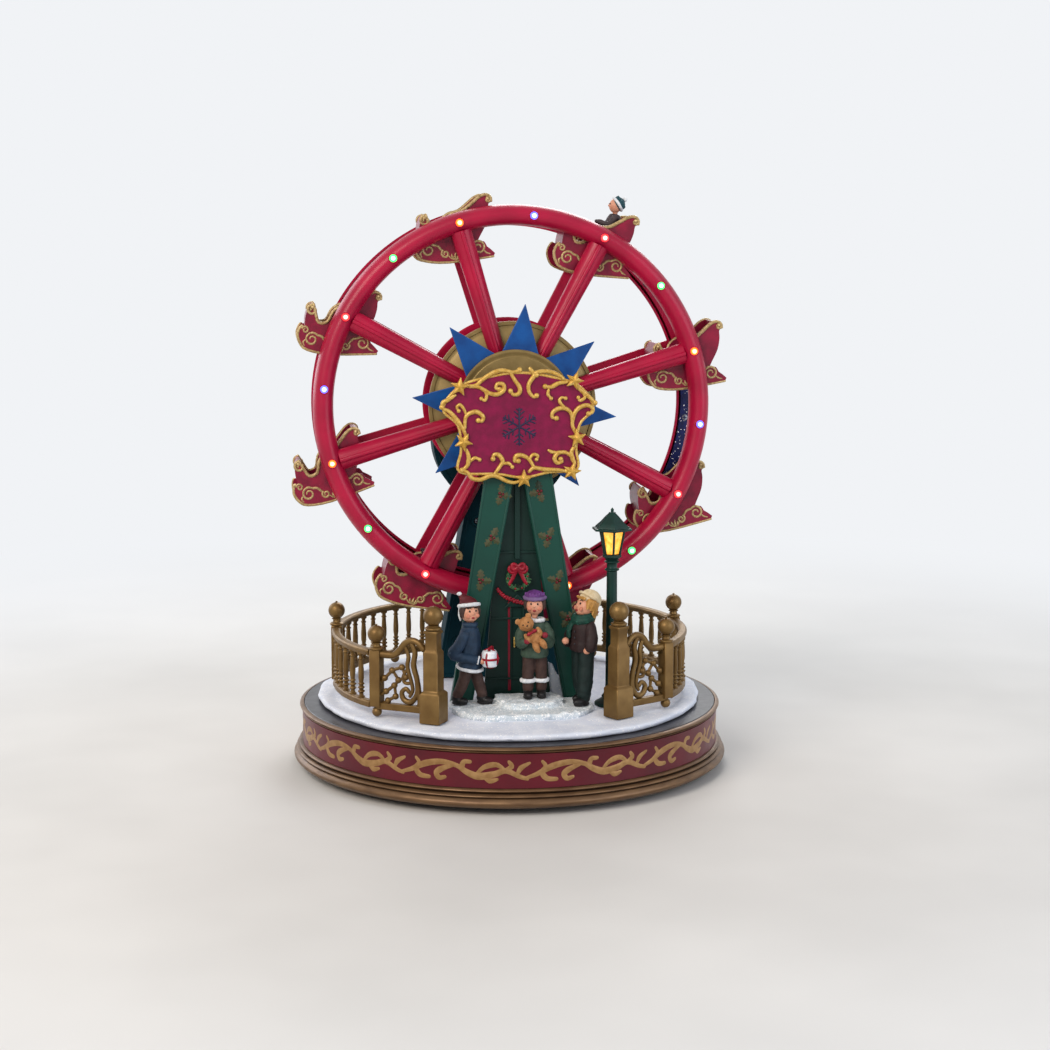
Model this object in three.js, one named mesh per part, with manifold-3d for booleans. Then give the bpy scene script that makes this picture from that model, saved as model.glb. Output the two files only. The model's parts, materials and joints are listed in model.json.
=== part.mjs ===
// A lit and musical Christmas ferris wheel for a table, about 31 cm tall.
// Millimetres, +Z up, the front faces -Y, the origin lies under the middle of the round base.

import * as THREE from 'three';
import { mergeVertices } from 'three/addons/utils/BufferGeometryUtils.js';
import Module from 'manifold-3d';

const wasm = await Module();
wasm.setup();

// Fits
const seat = 0.3;
const running = 0.4;
const overrun = 2;
const weld = 0.0005;

// Facets
const baseSegments = 32;
const wheelSegments = 32;
const discSegments = 24;
const roundSegments = 12;
const smallSegments = 8;
const tinySegments = 6;
const ballSteps = 4;
const torusSteps = 4;
const rimBeadSteps = 3;
const beadSteps = 2;

// Base
const baseRadius = 120;
const baseClearance = 4;
const footRingWall = 9;
const torusHeight = 5.3;
const torusSwell = 2.4;
const torusRootRadius = baseRadius - torusSwell;
const thinBeadHeight = 1.6;
const thinBeadSwell = 1;
const thinBeadRadius = torusRootRadius + thinBeadSwell;
const grooveHeight = 0.9;
const grooveDepth = 1.4;
const grooveRadius = torusRootRadius - grooveDepth;
const topBeadHeight = 1.7;
const topBeadSwell = 1.1;
const topBeadRadius = grooveRadius + topBeadSwell;
const bandHeight = 17.8;
const bandInset = 4.7;
const bandRadius = baseRadius - bandInset;
const bandHollow = 0.4;
const bandWall = 2.7;
const rimHeight = 2.9;
const rimSwell = 1.2;
const rimRadius = bandRadius + rimSwell;
const rimLedgeHeight = 0.7;
const deckInset = 2.5;
const deckRadius = rimRadius - deckInset;
const rimLedgeWidth = 6;
const rimLedgeRadius = deckRadius - rimLedgeWidth;
const deckThickness = 2.1;

// Snow
const snowInset = 8;
const snowRadius = deckRadius - snowInset;
const snowThickness = 3.7;
const snowBevel = 1;
const snowWaveShare = 0.012;
const snowWaves = [3, 5];

// Bottom cover, battery bay and feet
const coverHeight = 7;
const coverThickness = 2;
const coverPlay = 0.5;
const footRadius = 7;
const footInset = 24;
const footCircle = baseRadius - footInset;
const batteryRadius = 7.25;
const batteryLength = 50.5;
const batteryCount = 3;
const batteryGap = 0.4;
const contactRoom = 2.6;
const bayWall = 1.5;
const doorThickness = 1.3;
const doorLap = 1.6;
const guideWidth = 3;
const guideLip = 1.4;
const guideLipThickness = 1.2;
const doorGripHeight = 0.9;
const doorGripWidth = 2;
const speakerRadius = 18;
const speakerHeight = 8;
const speakerInset = 54;
const speakerPlace = speakerInset - baseRadius;
const speakerSlotLength = 22;
const speakerSlotWidth = 2.4;
const speakerSlotPitch = 6;
const boardLength = 46;
const boardWidth = 34;
const boardThickness = 1.6;
const boardInset = 54;
const boardPlace = baseRadius - boardInset;
const standoffRadius = 2.5;
const standoffHeight = 3;
const chipSize = 9;
const chipHeight = 2.2;

// Switch and power socket in the back of the band
const controlHeight = 22.6;
const switchTurn = 8;
const switchTravel = 3;
const switchKnobWidth = 5;
const switchKnobHeight = 4.4;
const switchKnobReach = 3;
const switchPlateLength = 14;
const switchPlateHeight = 8;
const switchPlateThickness = 1.4;
const switchPocketDepth = 0.8;
const socketTurn = -8;
const socketRadius = 4;
const socketPinRadius = 0.8;
const socketLength = 13;
const socketCollarRadius = 5.6;
const socketCollar = 1.5;

// Wheel
const hubHeight = 198.65;
const ledCircle = 102;
const wheelTurn = 28.4;
const armCount = 8;
const rimHalfWidth = 5.5;
const rimDepth = 8;
const rimWall = 1.3;
const rimOuterSteps = 5;
const rimInnerSteps = 3;
const rimPlane = 16;
const spokeTipWidth = 11.6;
const spokeHubWidth = 8;
const spokeDepth = 7;
const spokeSides = 4;
const spokeSeatDepth = 1.4;
const hubBossRadius = 13;
const bridgeLength = 9.4;
const bridgeThickness = 1.2;
const bridgeRimLap = 0.4;
const pinRadius = 1.6;
const pinPlay = 0.6;
const ledRingHalfWidth = 2.8;
const ledRingThickness = 1.2;
const ledRadius = 1.5;
const ledTip = 1.2;
const ledSides = 5;
const largeDiscRadius = 45.5;
const rearDiscRadius = 46.5;
const discThickness = 2;
const starTipRadius = 55.5;
const starRootRadius = 28.5;
const starThickness = 1.5;
const capRadius = 31;
const capThickness = 2;
const capBevel = 0.6;

// Axle and drive
const axleRadius = 3;
const axleFront = 39;
const axleBack = 47;
const spacerRadius = 9;
const gearModule = 1.8;
const gearTeeth = 24;
const pinionTeeth = 8;
const gearWidth = 3.4;
const addendumShare = 0.62;
const dedendumShare = 1.05;
const toothRootShare = 0.3;
const toothTipShare = 0.12;
const motorRadius = 12;
const slipRingRadius = 8;
const slipRingWidth = 4;
const slipRingGroove = 1;
const slipRingShoulderShare = 0.35;
const brushWidth = 8;
const brushHeight = 9;

// Gondola, measured from its pin
const gondolaReachLeft = 24.3;
const gondolaReachRight = 18.8;
const gondolaDrop = 20.9;
const gondolaRise = 15.2;
const gondolaHalfWidth = 13.4;
const gondolaWall = 1.6;
const gondolaTilts = [-10, 5, 9, 0, -13, 15, -5, 3];

// Riders
const riderGondolas = [1, 5];
const riderHeight = 32;
const riderRadius = 5.6;
const riderOffset = 7.4;
const riderSeatHeight = -8.5;

// Front tower, panel and sign
const towerFront = 41;
const towerThickness = 6;
const legFootOuter = 37;
const legFootInner = 23.3;
const legHeadInner = 2.6;
const crotchHeight = 182;
const towerHeadRadius = 19;
const towerHeadStart = -45;
const towerHeadSteps = 12;
const bearingDepth = 4;
const panelThickness = 2.5;
const panelFootHalf = 18.5;
const panelTopHalf = 8;
const panelTop = 165;
const ribHalfWidth = 1.5;
const ribDepth = 1.2;
const ribBottom = 118;
const gableHalfWidth = 6;
const gableBottom = 92;
const gableTop = 98.5;
const wreathHeight = 107.5;
const wreathRadius = 5.4;
const wreathTube = 1.6;
const wreathSteps = 10;
const wreathSides = 5;
const bowReach = 4.4;
const bowRadius = 1.9;
const signHalfWidth = 40;
const signHalfHeight = 26;
const signMiddle = 191;
const signThickness = 2.5;
const signFrameWidth = 3.2;
const signFrameThickness = 2.6;
const signStarRadius = 5.2;
const signStarThickness = 3.4;
const signStarTips = 5;
const signStarTurn = 12;

// Rear tower
const rearTowerFront = 30.5;
const rearTowerDepth = 19.5;
const rearTowerWall = 2;
const rearCoverThickness = 2;
const rearFootHalf = 38;
const rearNeckHalf = 20.5;
const rearNeckHeight = 141;
const rearHeadRadius = 39.2;
const rearHeadDrop = 23.3;
const rearHeadStart = -58;
const rearHeadSteps = 8;

// Fence
const fenceInset = 10;
const fenceRadius = snowRadius - fenceInset;
const gateInset = 7.4;
const gateAngle = THREE.MathUtils.degToRad(-56.65);
const gatePlaceX = (fenceRadius - gateInset) * Math.cos(gateAngle);
const gatePlaceY = (fenceRadius - gateInset) * Math.sin(gateAngle);
const fenceEndAngle = -36.5;
const farPostAngle = 7.2;
const backPostAngle = 52;
const plinthHalf = 5.7;
const plinthHeight = 15.2;
const shaftHalf = 4.15;
const shaftTop = 37;
const upperHalf = 3.3;
const upperTop = 49.2;
const postChamfer = 1.7;
const collarRadius = 4;
const collarHeight = 1.8;
const gateBallRadius = 5.2;
const gateBallHeight = 56.2;
const smallPostHalf = 3;
const smallPostTop = 36;
const smallBallRadius = 4.6;
const smallBallHeight = 44.2;
const smallNeckRadius = 2.1;
const footBallRadius = 2.6;
const bottomRailHeight = 4.3;
const topRailHeight = 32;
const railThickness = 3.6;
const railHalfWidth = 1.9;
const topRailHalfWidth = 2.4;
const spindleRadius = 1.7;
const spindlePitch = 9.6;
const scrollRadius = 1.5;
const scrollSteps = 8;
const scrollSides = 5;
const twigRadius = 1.1;
const twigShares = [0.3, 0.55];
const twigRiseShare = 0.15;
const twigEndShare = 0.36;
const gateArchRise = 9.5;

// Steps between the gate posts
const stepPostGap = 5;
const stepHalfWidth = gatePlaceX - plinthHalf - stepPostGap;
const stepEdgeInset = 27;
const stepDepth = snowRadius - stepEdgeInset - towerFront;
const stepHeight = 3.7;
const upperStepWidthShare = 0.45;
const upperStepHalfWidth = stepHalfWidth * upperStepWidthShare;
const upperStepMiddle = 4;
const upperStepDepthShare = 0.63;
const upperStepDepth = stepDepth * upperStepDepthShare;
const upperStepHeight = 3;
const stepRoundness = 0.6;
const stepWave = 0.7;
const stepWaves = 7;
const stepCorners = 18;

// Lamp post
const lampPlaceX = 49.6;
const lampPlaceY = -46;
const lampFootRadius = 9;
const lampFootHeight = 5;
const lampPoleRadius = 3.2;
const lampCollarRadius = 4.4;
const lampSides = 6;
const lanternBottom = 82;
const lanternTop = 95;
const lanternBottomRadius = 4.9;
const lanternTopRadius = 7.6;
const lampFloor = 1.6;
const lampBarWidth = 1.3;
const lampRoofRadius = 11.4;
const lampRoofHeight = 10;
const lampEave = 1.2;
const lampFinialRadius = 1.3;

// Figures
const figureHeight = baseRadius / 2;
const figureRadiusShare = 2 / 15;
const figureRadius = figureHeight * figureRadiusShare;
const legRadius = 3;
const legSpread = 4;
const legLength = 19;
const bootLength = 9;
const bootWidth = 5;
const bootHeight = 4.4;
const armRadiusShare = 0.3125;
const armRadius = figureRadius * armRadiusShare;
const armSides = 5;
const trunkSides = 7;
const trouserRadius = 3.3;
const presentLength = 10;
const presentSide = 8;
const presentReach = 9.6;
const teddyRadius = 4.6;
const teddyHeadRadius = 3.7;
const teddyHeadRise = 6.4;
const boySideShare = -0.7;
const boyFrontShare = 0.275;
const boyTurn = 60;
const childSideShare = 0.185;
const childFrontShare = 0.315;
const childTurn = -8;
const friendSideShare = 0.83;
const friendFrontShare = 0.395;
const friendTurn = -62;

// Heights that follow from the stack of the base
const footRingTop = baseClearance + torusHeight + thinBeadHeight + grooveHeight + topBeadHeight;
const bandBottom = footRingTop + seat;
const bandTop = bandBottom + bandHeight;
const rimBottom = bandTop + seat;
const deckBottom = rimBottom + rimLedgeHeight + seat;
const deckTop = deckBottom + deckThickness;
const snowTop = deckTop + seat + snowThickness;
const ground = snowTop + seat;
const gearDistance = gearModule * (gearTeeth + pinionTeeth) / 2;

// A geometry with merged corners and outward faces becomes a solid that can be joined and cut.
function solid(geometry) {
  const bare = geometry.clone();
  for (const name of ['normal', 'uv']) bare.deleteAttribute(name);
  const merged = mergeVertices(bare, weld);
  const points = merged.getAttribute('position').array;
  const kept = wholeTriangles(merged.getIndex().array);
  const faces = volume(points, kept) < 0 ? kept.reverse() : kept;
  const vertProperties = new Float32Array(points);
  const triVerts = new Uint32Array(faces);
  return new wasm.Manifold(new wasm.Mesh({ numProp: 3, vertProperties, triVerts }));
}

// Triangles with two equal corners, such as those at the tip of a lathe, are left out.
function wholeTriangles(index) {
  const kept = [];
  for (let i = 0; i < index.length; i += 3) {
    const [a, b, c] = [index[i], index[i + 1], index[i + 2]];
    if (a !== b && b !== c && c !== a) kept.push(a, b, c);
  }
  return kept;
}

function volume(points, index) {
  const corner = (i) => new THREE.Vector3().fromArray(points, 3 * i);
  let sum = 0;
  for (let i = 0; i < index.length; i += 3) {
    const [a, b, c] = [corner(index[i]), corner(index[i + 1]), corner(index[i + 2])];
    sum += a.dot(b.cross(c));
  }
  return sum;
}

function join(...geometries) {
  return geometries.map(solid).reduce((whole, next) => whole.add(next));
}

function cut(whole, ...geometries) {
  return geometries.map(solid).reduce((rest, tool) => rest.subtract(tool), whole);
}

// A solid that carries a boolean result becomes a geometry again.
function surface(body) {
  const { vertProperties, triVerts } = body.getMesh();
  const geometry = new THREE.BufferGeometry();
  geometry.setAttribute('position', new THREE.BufferAttribute(new Float32Array(vertProperties), 3));
  geometry.setIndex(new THREE.BufferAttribute(new Uint32Array(triVerts), 1));
  geometry.computeVertexNormals();
  return geometry;
}

const radians = THREE.MathUtils.degToRad;
const range = (count) => Array.from({ length: count }, (_, i) => i);

// Basic shapes

// A ring or a disc turned about Z, from points of radius and height.
function turned(points, segments) {
  return turnedAboutY(points, segments).rotateX(Math.PI / 2);
}

function turnedAboutY(points, segments) {
  return new THREE.LatheGeometry(points.map(([r, h]) => new THREE.Vector2(r, h)), segments);
}

// A closed ring profile returns to its first point.
const closed = (points) => [...points, points[0]];

function rod(radius, length, sides) {
  return new THREE.CylinderGeometry(radius, radius, length, sides);
}

function box(x, y, z) {
  return new THREE.BoxGeometry(x, y, z);
}

function outline(points) {
  return new THREE.Shape(points.map(([x, y]) => new THREE.Vector2(x, y)));
}

function slab(shape, thickness) {
  const settings = { depth: thickness, bevelEnabled: false, curveSegments: discSegments };
  return new THREE.ExtrudeGeometry(shape, settings);
}

// A plate drawn in X and Z, standing with its front at the given Y.
function plate(points, front, thickness) {
  return slab(outline(points), thickness).rotateX(Math.PI / 2).translate(0, front + thickness, 0);
}

function bead(bottom, height, rootRadius, crownRadius, steps) {
  return range(steps + 1).map((i) => {
    const rise = Math.sin(Math.PI * i / steps);
    return [rootRadius + (crownRadius - rootRadius) * rise, bottom + height * i / steps];
  });
}

function arc(radius, from, to, steps, middle = 0) {
  return range(steps + 1).map((i) => {
    const angle = radians(from + (to - from) * i / steps);
    return [radius * Math.cos(angle), middle + radius * Math.sin(angle)];
  });
}

function tube(points, radius, steps, sides) {
  const path = new THREE.CatmullRomCurve3(points.map((p) => new THREE.Vector3(...p)));
  const section = outline(arc(radius, 0, 360 * (sides - 1) / sides, sides - 1));
  return new THREE.ExtrudeGeometry(section, { steps, extrudePath: path, bevelEnabled: false });
}

// Finishes
const finish = (color, roughness, metalness = 0) => (
  new THREE.MeshStandardMaterial({ color, roughness, metalness }));
const bronze = finish('#7d5a2a', 0.42, 0.35);
const maroon = finish('#6d1220', 0.5);
const slate = finish('#34363c', 0.55);
const black = finish('#161616', 0.7);
const crimson = finish('#a3123a', 0.28);
const paleGold = finish('#b08d45', 0.38, 0.45);
const blue = finish('#0a4f9c', 0.45);
const snowWhite = finish('#e8edf5', 0.75);
const green = finish('#0f4a3a', 0.5);
const darkGreen = finish('#07302c', 0.5);
const steel = finish('#b9bcc0', 0.3, 1);
const ivory = finish('#e9e2cf', 0.6);
const amber = finish('#f2a63a', 0.3);
const boardBlue = finish('#1a3f8c', 0.5);
const coatBlue = finish('#22344f', 0.7);
const coatGreen = finish('#2f4a3c', 0.7);
const coatBrown = finish('#3b2a28', 0.7);
const wreathGreen = finish('#2c5a33', 0.7);

const wheelDecoration = new THREE.Group();

function add(name, body, material, parent = wheelDecoration) {
  const mesh = new THREE.Mesh(surface(body), material);
  mesh.name = name;
  parent.add(mesh);
  return mesh;
}

// Base

function footRing() {
  const inner = baseRadius - footRingWall;
  const torusTop = baseClearance + torusHeight;
  const grooveBottom = torusTop + thinBeadHeight;
  return solid(turned(closed([
    [inner, baseClearance],
    ...bead(baseClearance, torusHeight, torusRootRadius, baseRadius, torusSteps),
    ...bead(torusTop, thinBeadHeight, torusRootRadius, thinBeadRadius, beadSteps).slice(1),
    [grooveRadius, grooveBottom + grooveHeight / 2],
    ...bead(grooveBottom + grooveHeight, topBeadHeight, grooveRadius, topBeadRadius, beadSteps).slice(1),
    [inner, footRingTop],
  ]), baseSegments));
}

function band() {
  const inner = bandRadius - bandWall;
  const ring = solid(turned(closed([
    [inner, bandBottom],
    [bandRadius, bandBottom],
    [bandRadius - bandHollow, (bandBottom + bandTop) / 2],
    [bandRadius, bandTop],
    [inner, bandTop],
  ]), baseSegments));
  const slotWidth = switchKnobWidth + 2 * (switchTravel + running);
  const slot = box(slotWidth, bandWall * 4, switchKnobHeight + 2 * running);
  const pocketLength = switchPlateLength + 2 * (switchTravel + running);
  const pocket = box(pocketLength, bandWall * 2, switchPlateHeight + 2 * running);
  const hole = rod(socketRadius + seat, bandWall * 4, smallSegments);
  return cut(
    ring,
    slot.translate(0, bandRadius, controlHeight).rotateZ(radians(switchTurn)),
    pocket.translate(0, switchPlateBack() - bandWall, controlHeight).rotateZ(radians(switchTurn)),
    hole.translate(0, bandRadius, controlHeight).rotateZ(radians(socketTurn)),
  );
}

// The flat behind the switch lies a little into the wall of the band.
function switchPlateBack() {
  return bandRadius - bandHollow - bandWall + switchPocketDepth;
}

function powerSwitch() {
  const back = switchPlateBack() - seat;
  const knobLength = bandRadius + switchKnobReach - back;
  const knob = box(switchKnobWidth, knobLength + switchPlateThickness / 2, switchKnobHeight);
  const slide = box(switchPlateLength, switchPlateThickness, switchPlateHeight);
  return join(...[
    slide.translate(0, back - switchPlateThickness / 2, controlHeight),
    knob.translate(0, back + knobLength / 2 - switchPlateThickness / 4, controlHeight),
  ].map((piece) => piece.rotateZ(radians(switchTurn))));
}

function powerSocket() {
  const front = bandRadius - socketCollar / 2;
  const innerFace = (bandRadius - bandWall) * Math.cos(Math.PI / baseSegments);
  const barrel = rod(socketRadius, socketLength, smallSegments).translate(0, front - socketLength / 2, 0);
  const nut = rod(socketCollarRadius, socketCollar, tinySegments);
  const hole = rod(socketRadius / 2, socketLength, smallSegments).translate(0, front, 0);
  const pin = rod(socketPinRadius, socketLength / 2 + overrun, tinySegments)
    .translate(0, front - socketLength / 2, 0);
  const body = cut(join(barrel, nut.translate(0, innerFace - socketCollar / 2 - 2 * seat, 0)), hole);
  const whole = surface(body.add(solid(pin)));
  return solid(whole.translate(0, 0, controlHeight).rotateZ(radians(socketTurn)));
}

function deckRim() {
  const top = rimBottom + rimHeight;
  const ledgeTop = rimBottom + rimLedgeHeight;
  const seatRadius = deckRadius + seat;
  return solid(turned(closed([
    [rimLedgeRadius, rimBottom],
    ...bead(rimBottom, rimHeight, (rimRadius + seatRadius) / 2, rimRadius, rimBeadSteps),
    [seatRadius, top],
    [seatRadius, ledgeTop],
    [rimLedgeRadius, ledgeTop],
  ]), baseSegments));
}

function deck() {
  return solid(rod(deckRadius, deckThickness, baseSegments).rotateX(Math.PI / 2)
    .translate(0, 0, deckBottom + deckThickness / 2));
}

// Battery bay: three cells side by side along X, closed from below by a sliding door.

const bayLength = batteryLength + 2 * contactRoom;
const bayWidth = batteryCount * 2 * batteryRadius + (batteryCount + 1) * batteryGap;
const batteryBottom = coverHeight;
const bayTop = batteryBottom + 2 * batteryRadius + seat;
const doorTop = coverHeight - seat;
const doorLength = bayLength + 2 * doorLap;
const doorWidth = bayWidth + 2 * doorLap;
const coverRadius = baseRadius - footRingWall - coverPlay;

function doorGuide(side) {
  const inner = doorWidth / 2 + running;
  const lipTop = doorTop - doorThickness - seat;
  const points = [
    [inner, coverHeight + coverThickness / 2],
    [inner, lipTop],
    [inner - guideLip, lipTop],
    [inner - guideLip, lipTop - guideLipThickness],
    [inner + guideWidth, lipTop - guideLipThickness],
    [inner + guideWidth, coverHeight + coverThickness / 2],
  ];
  const strip = slab(outline(points.map(([y, z]) => [y * side, z])), doorLength);
  return strip.rotateX(Math.PI / 2).rotateZ(Math.PI / 2).translate(-doorLength / 2, 0, 0);
}

function bottomCover() {
  const cover = rod(coverRadius, coverThickness, baseSegments).rotateX(Math.PI / 2);
  const bayOuterHeight = bayTop + bayWall - coverHeight;
  const bay = box(bayLength + 2 * bayWall, bayWidth + 2 * bayWall, bayOuterHeight);
  const cavity = box(bayLength, bayWidth, bayTop - coverHeight + overrun);
  const posts = boardCorners().map(([x, y]) => {
    const post = rod(standoffRadius, standoffHeight + coverThickness / 2, smallSegments).rotateX(Math.PI / 2);
    return post.translate(x, y, coverHeight + coverThickness + (standoffHeight - coverThickness / 2) / 2);
  });
  const whole = join(
    cover.translate(0, 0, coverHeight + coverThickness / 2),
    bay.translate(0, 0, coverHeight + bayOuterHeight / 2),
    doorGuide(1),
    doorGuide(-1),
    ...posts,
  );
  const slots = [-1, 0, 1].map((i) => {
    const slot = box(speakerSlotLength, speakerSlotWidth, coverThickness + overrun);
    return slot.translate(speakerPlace, i * speakerSlotPitch, coverHeight + coverThickness / 2);
  });
  return cut(whole, cavity.translate(0, 0, bayTop - (bayTop - coverHeight + overrun) / 2), ...slots);
}

function batteryDoor() {
  const leaf = box(doorLength, doorWidth, doorThickness).translate(0, 0, doorTop - doorThickness / 2);
  const grips = [-1, 0, 1].map((i) => {
    const grip = box(doorGripWidth, doorWidth / 3, doorGripHeight + doorThickness / 2);
    const place = doorLength / 3 + 2 * i * doorGripWidth;
    return grip.translate(place, 0, doorTop - doorThickness - doorGripHeight / 2 + doorThickness / 4);
  });
  return join(leaf, ...grips);
}

function battery(index) {
  const pitch = 2 * batteryRadius + batteryGap;
  const cell = rod(batteryRadius, batteryLength, roundSegments).rotateZ(Math.PI / 2);
  const place = (index - (batteryCount - 1) / 2) * pitch;
  return solid(cell.translate(0, place, batteryBottom + batteryRadius));
}

function foot(index) {
  const angle = radians(45 + 90 * index);
  const pad = rod(footRadius, coverHeight - seat, roundSegments).rotateX(Math.PI / 2);
  const place = [footCircle * Math.cos(angle), footCircle * Math.sin(angle), (coverHeight - seat) / 2];
  return solid(pad.translate(...place));
}

function speaker() {
  const bottom = coverHeight + coverThickness + seat;
  const half = speakerHeight / 2;
  const cone = turned([
    [0, bottom],
    [speakerRadius, bottom],
    [speakerRadius, bottom + half / 2],
    [speakerRadius / 2, bottom + half],
    [speakerRadius / 2, bottom + speakerHeight],
    [0, bottom + speakerHeight],
  ], roundSegments);
  return solid(cone.translate(speakerPlace, 0, 0));
}

function boardCorners() {
  const [x, y] = [boardLength / 2 - standoffRadius, boardWidth / 2 - standoffRadius];
  return [[-x, -y], [x, -y], [x, y], [-x, y]].map(([a, b]) => [boardPlace + a, b]);
}

function controlBoard() {
  const bottom = coverHeight + coverThickness + standoffHeight + seat;
  const sheet = box(boardLength, boardWidth, boardThickness)
    .translate(boardPlace, 0, bottom + boardThickness / 2);
  const chips = [-1, 1].map((side) => {
    const chip = box(chipSize, chipSize, chipHeight + boardThickness / 2);
    const middle = bottom + boardThickness / 2 + (chipHeight + boardThickness / 2) / 2;
    return chip.translate(boardPlace + side * chipSize, side * chipSize / 2, middle);
  });
  return join(sheet, ...chips);
}

// Snow

function snowGround() {
  const points = range(baseSegments).map((i) => {
    const angle = 2 * Math.PI * i / baseSegments;
    const wave = snowWaves.reduce((sum, count) => sum + Math.sin(count * angle) / 2, 0);
    const radius = snowRadius * (1 + snowWaveShare * wave) - snowBevel;
    return [radius * Math.cos(angle), radius * Math.sin(angle)];
  });
  const bevel = { bevelEnabled: true, bevelThickness: snowBevel, bevelSize: snowBevel, bevelSegments: 1 };
  const sheet = new THREE.ExtrudeGeometry(outline(points), { depth: snowThickness - 2 * snowBevel, ...bevel });
  return solid(sheet.translate(0, 0, snowTop - snowThickness + snowBevel));
}

// The front edge of a step is a rounded box with small waves.
function step(halfWidth, depth, height, bottom, middle) {
  const back = -towerFront - seat;
  const points = range(stepCorners + 1).map((i) => {
    const angle = Math.PI * i / stepCorners;
    const wave = stepWave * Math.sin(stepWaves * angle) * Math.sin(angle);
    const x = Math.sign(Math.cos(angle)) * Math.abs(Math.cos(angle)) ** stepRoundness;
    const y = Math.abs(Math.sin(angle)) ** stepRoundness;
    return [middle - (halfWidth + wave) * x, back - (depth + wave) * y];
  });
  return slab(outline(points), height).translate(0, 0, bottom);
}

function snowSteps() {
  const lower = step(stepHalfWidth, stepDepth, stepHeight, ground, 0);
  const upperHeight = upperStepHeight + stepHeight / 2;
  const upper = step(upperStepHalfWidth, upperStepDepth, upperHeight, ground + stepHeight / 2, upperStepMiddle);
  return join(lower, upper);
}

// Fence

// A square post is a lathe with four sides.
function squarePost(points) {
  const corner = Math.SQRT2;
  return turned(points.map(([half, z]) => [half * corner, z]), 4).rotateZ(Math.PI / 4);
}

function ballFinial(radius, middle, neckRadius, neckBottom) {
  const start = -Math.acos(Math.min(1, neckRadius / radius)) * 180 / Math.PI;
  const ball = arc(radius, start, 90, ballSteps, middle);
  ball[ball.length - 1][0] = 0;
  return turned([[0, neckBottom], [neckRadius, neckBottom], ...ball], smallSegments);
}

function gatePost(side) {
  const post = squarePost([
    [0, ground],
    [plinthHalf, ground],
    [plinthHalf, ground + plinthHeight],
    [shaftHalf, ground + plinthHeight + postChamfer],
    [shaftHalf, ground + shaftTop],
    [upperHalf, ground + shaftTop + postChamfer],
    [upperHalf, ground + upperTop],
    [0, ground + upperTop],
  ]);
  const collarBottom = ground + upperTop - collarHeight / 2;
  const collar = rod(collarRadius, collarHeight, smallSegments).rotateX(Math.PI / 2);
  const ball = ballFinial(gateBallRadius, ground + gateBallHeight, collarRadius / 2, collarBottom);
  const turn = Math.atan2(gatePanelEnd().y - gatePlaceY, gatePanelEnd().x - gatePlaceX);
  const whole = [post, collar.translate(0, 0, collarBottom + collarHeight), ball];
  return join(...whole.map((piece) => piece.rotateZ(side * turn).translate(side * gatePlaceX, gatePlaceY, 0)));
}

function gatePanelEnd() {
  const angle = radians(fenceEndAngle);
  return new THREE.Vector2(fenceRadius * Math.cos(angle), fenceRadius * Math.sin(angle));
}

function smallPost() {
  const post = squarePost([
    [0, ground + footBallRadius],
    [smallPostHalf, ground + footBallRadius + seat],
    [smallPostHalf, ground + smallPostTop],
    [0, ground + smallPostTop],
  ]);
  const neckBottom = ground + smallPostTop - seat;
  const ball = ballFinial(smallBallRadius, ground + smallBallHeight, smallNeckRadius, neckBottom);
  const footBall = new THREE.SphereGeometry(footBallRadius, tinySegments, ballSteps).rotateX(Math.PI / 2);
  return [post, ball, footBall.translate(0, 0, ground + footBallRadius)];
}

// The curled top rail and the scroll of a gate panel, in shares of its span and height.
const archShares = [[1, 0], [0.7, -0.05], [0.5, 0.45], [0.3, 0.95], [0, 1]];
const scrollShares = [[0.02, 1], [0.3, 0.85], [0.24, 0.6], [0.42, 0.25], [0.3, 0.08], [0.1, 0]];

// The panel beside the gate is drawn from the gate post along +X and then turned into place.
function gatePanel(side) {
  const end = gatePanelEnd();
  const start = new THREE.Vector2(gatePlaceX, gatePlaceY);
  const length = start.distanceTo(end);
  const near = plinthHalf + seat;
  const shaft = shaftHalf + seat + scrollRadius;
  const bottom = ground + bottomRailHeight;
  const top = ground + topRailHeight;
  const rail = box(length - near, 2 * railHalfWidth, railThickness);
  const arch = top + gateArchRise;
  const span = length - shaft;
  const drop = arch - bottom;
  const scrollFoot = bottom + railThickness / 2;
  const pieces = [
    ...smallPost().map((piece) => piece.translate(length, 0, 0)),
    rail.translate((length + near) / 2, 0, bottom + railThickness / 2),
    tube(archShares.map(([x, z]) => [shaft + span * x, 0, top + railThickness / 2 + gateArchRise * z]),
      scrollRadius + seat, scrollSteps, scrollSides),
    tube(scrollShares.map(([x, z]) => [near + scrollRadius + span * x, 0, scrollFoot + drop * z]),
      scrollRadius, scrollSteps, scrollSides),
    ...twigShares.map((share) => {
      const from = [length, 0, bottom + drop * (share + twigRiseShare)];
      const to = [near + span * twigEndShare, 0, bottom + drop * share];
      return tube([from, to], twigRadius, 1, 4);
    }),
  ];
  const turn = Math.atan2(end.y - start.y, end.x - start.x);
  return join(...pieces.map((piece) => {
    const placed = piece.rotateZ(turn).translate(start.x, start.y, 0);
    return side > 0 ? placed : placed.scale(-1, 1, 1);
  }));
}

function arcRail(halfWidth, thickness, bottom, from, to) {
  const points = [
    ...arc(fenceRadius + halfWidth, from, to, discSegments),
    ...arc(fenceRadius - halfWidth, to, from, discSegments),
  ];
  return slab(outline(points), thickness).translate(0, 0, bottom);
}

function onFence(piece, angle) {
  const turn = radians(angle);
  return piece.rotateZ(turn).translate(fenceRadius * Math.cos(turn), fenceRadius * Math.sin(turn), 0);
}

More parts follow.
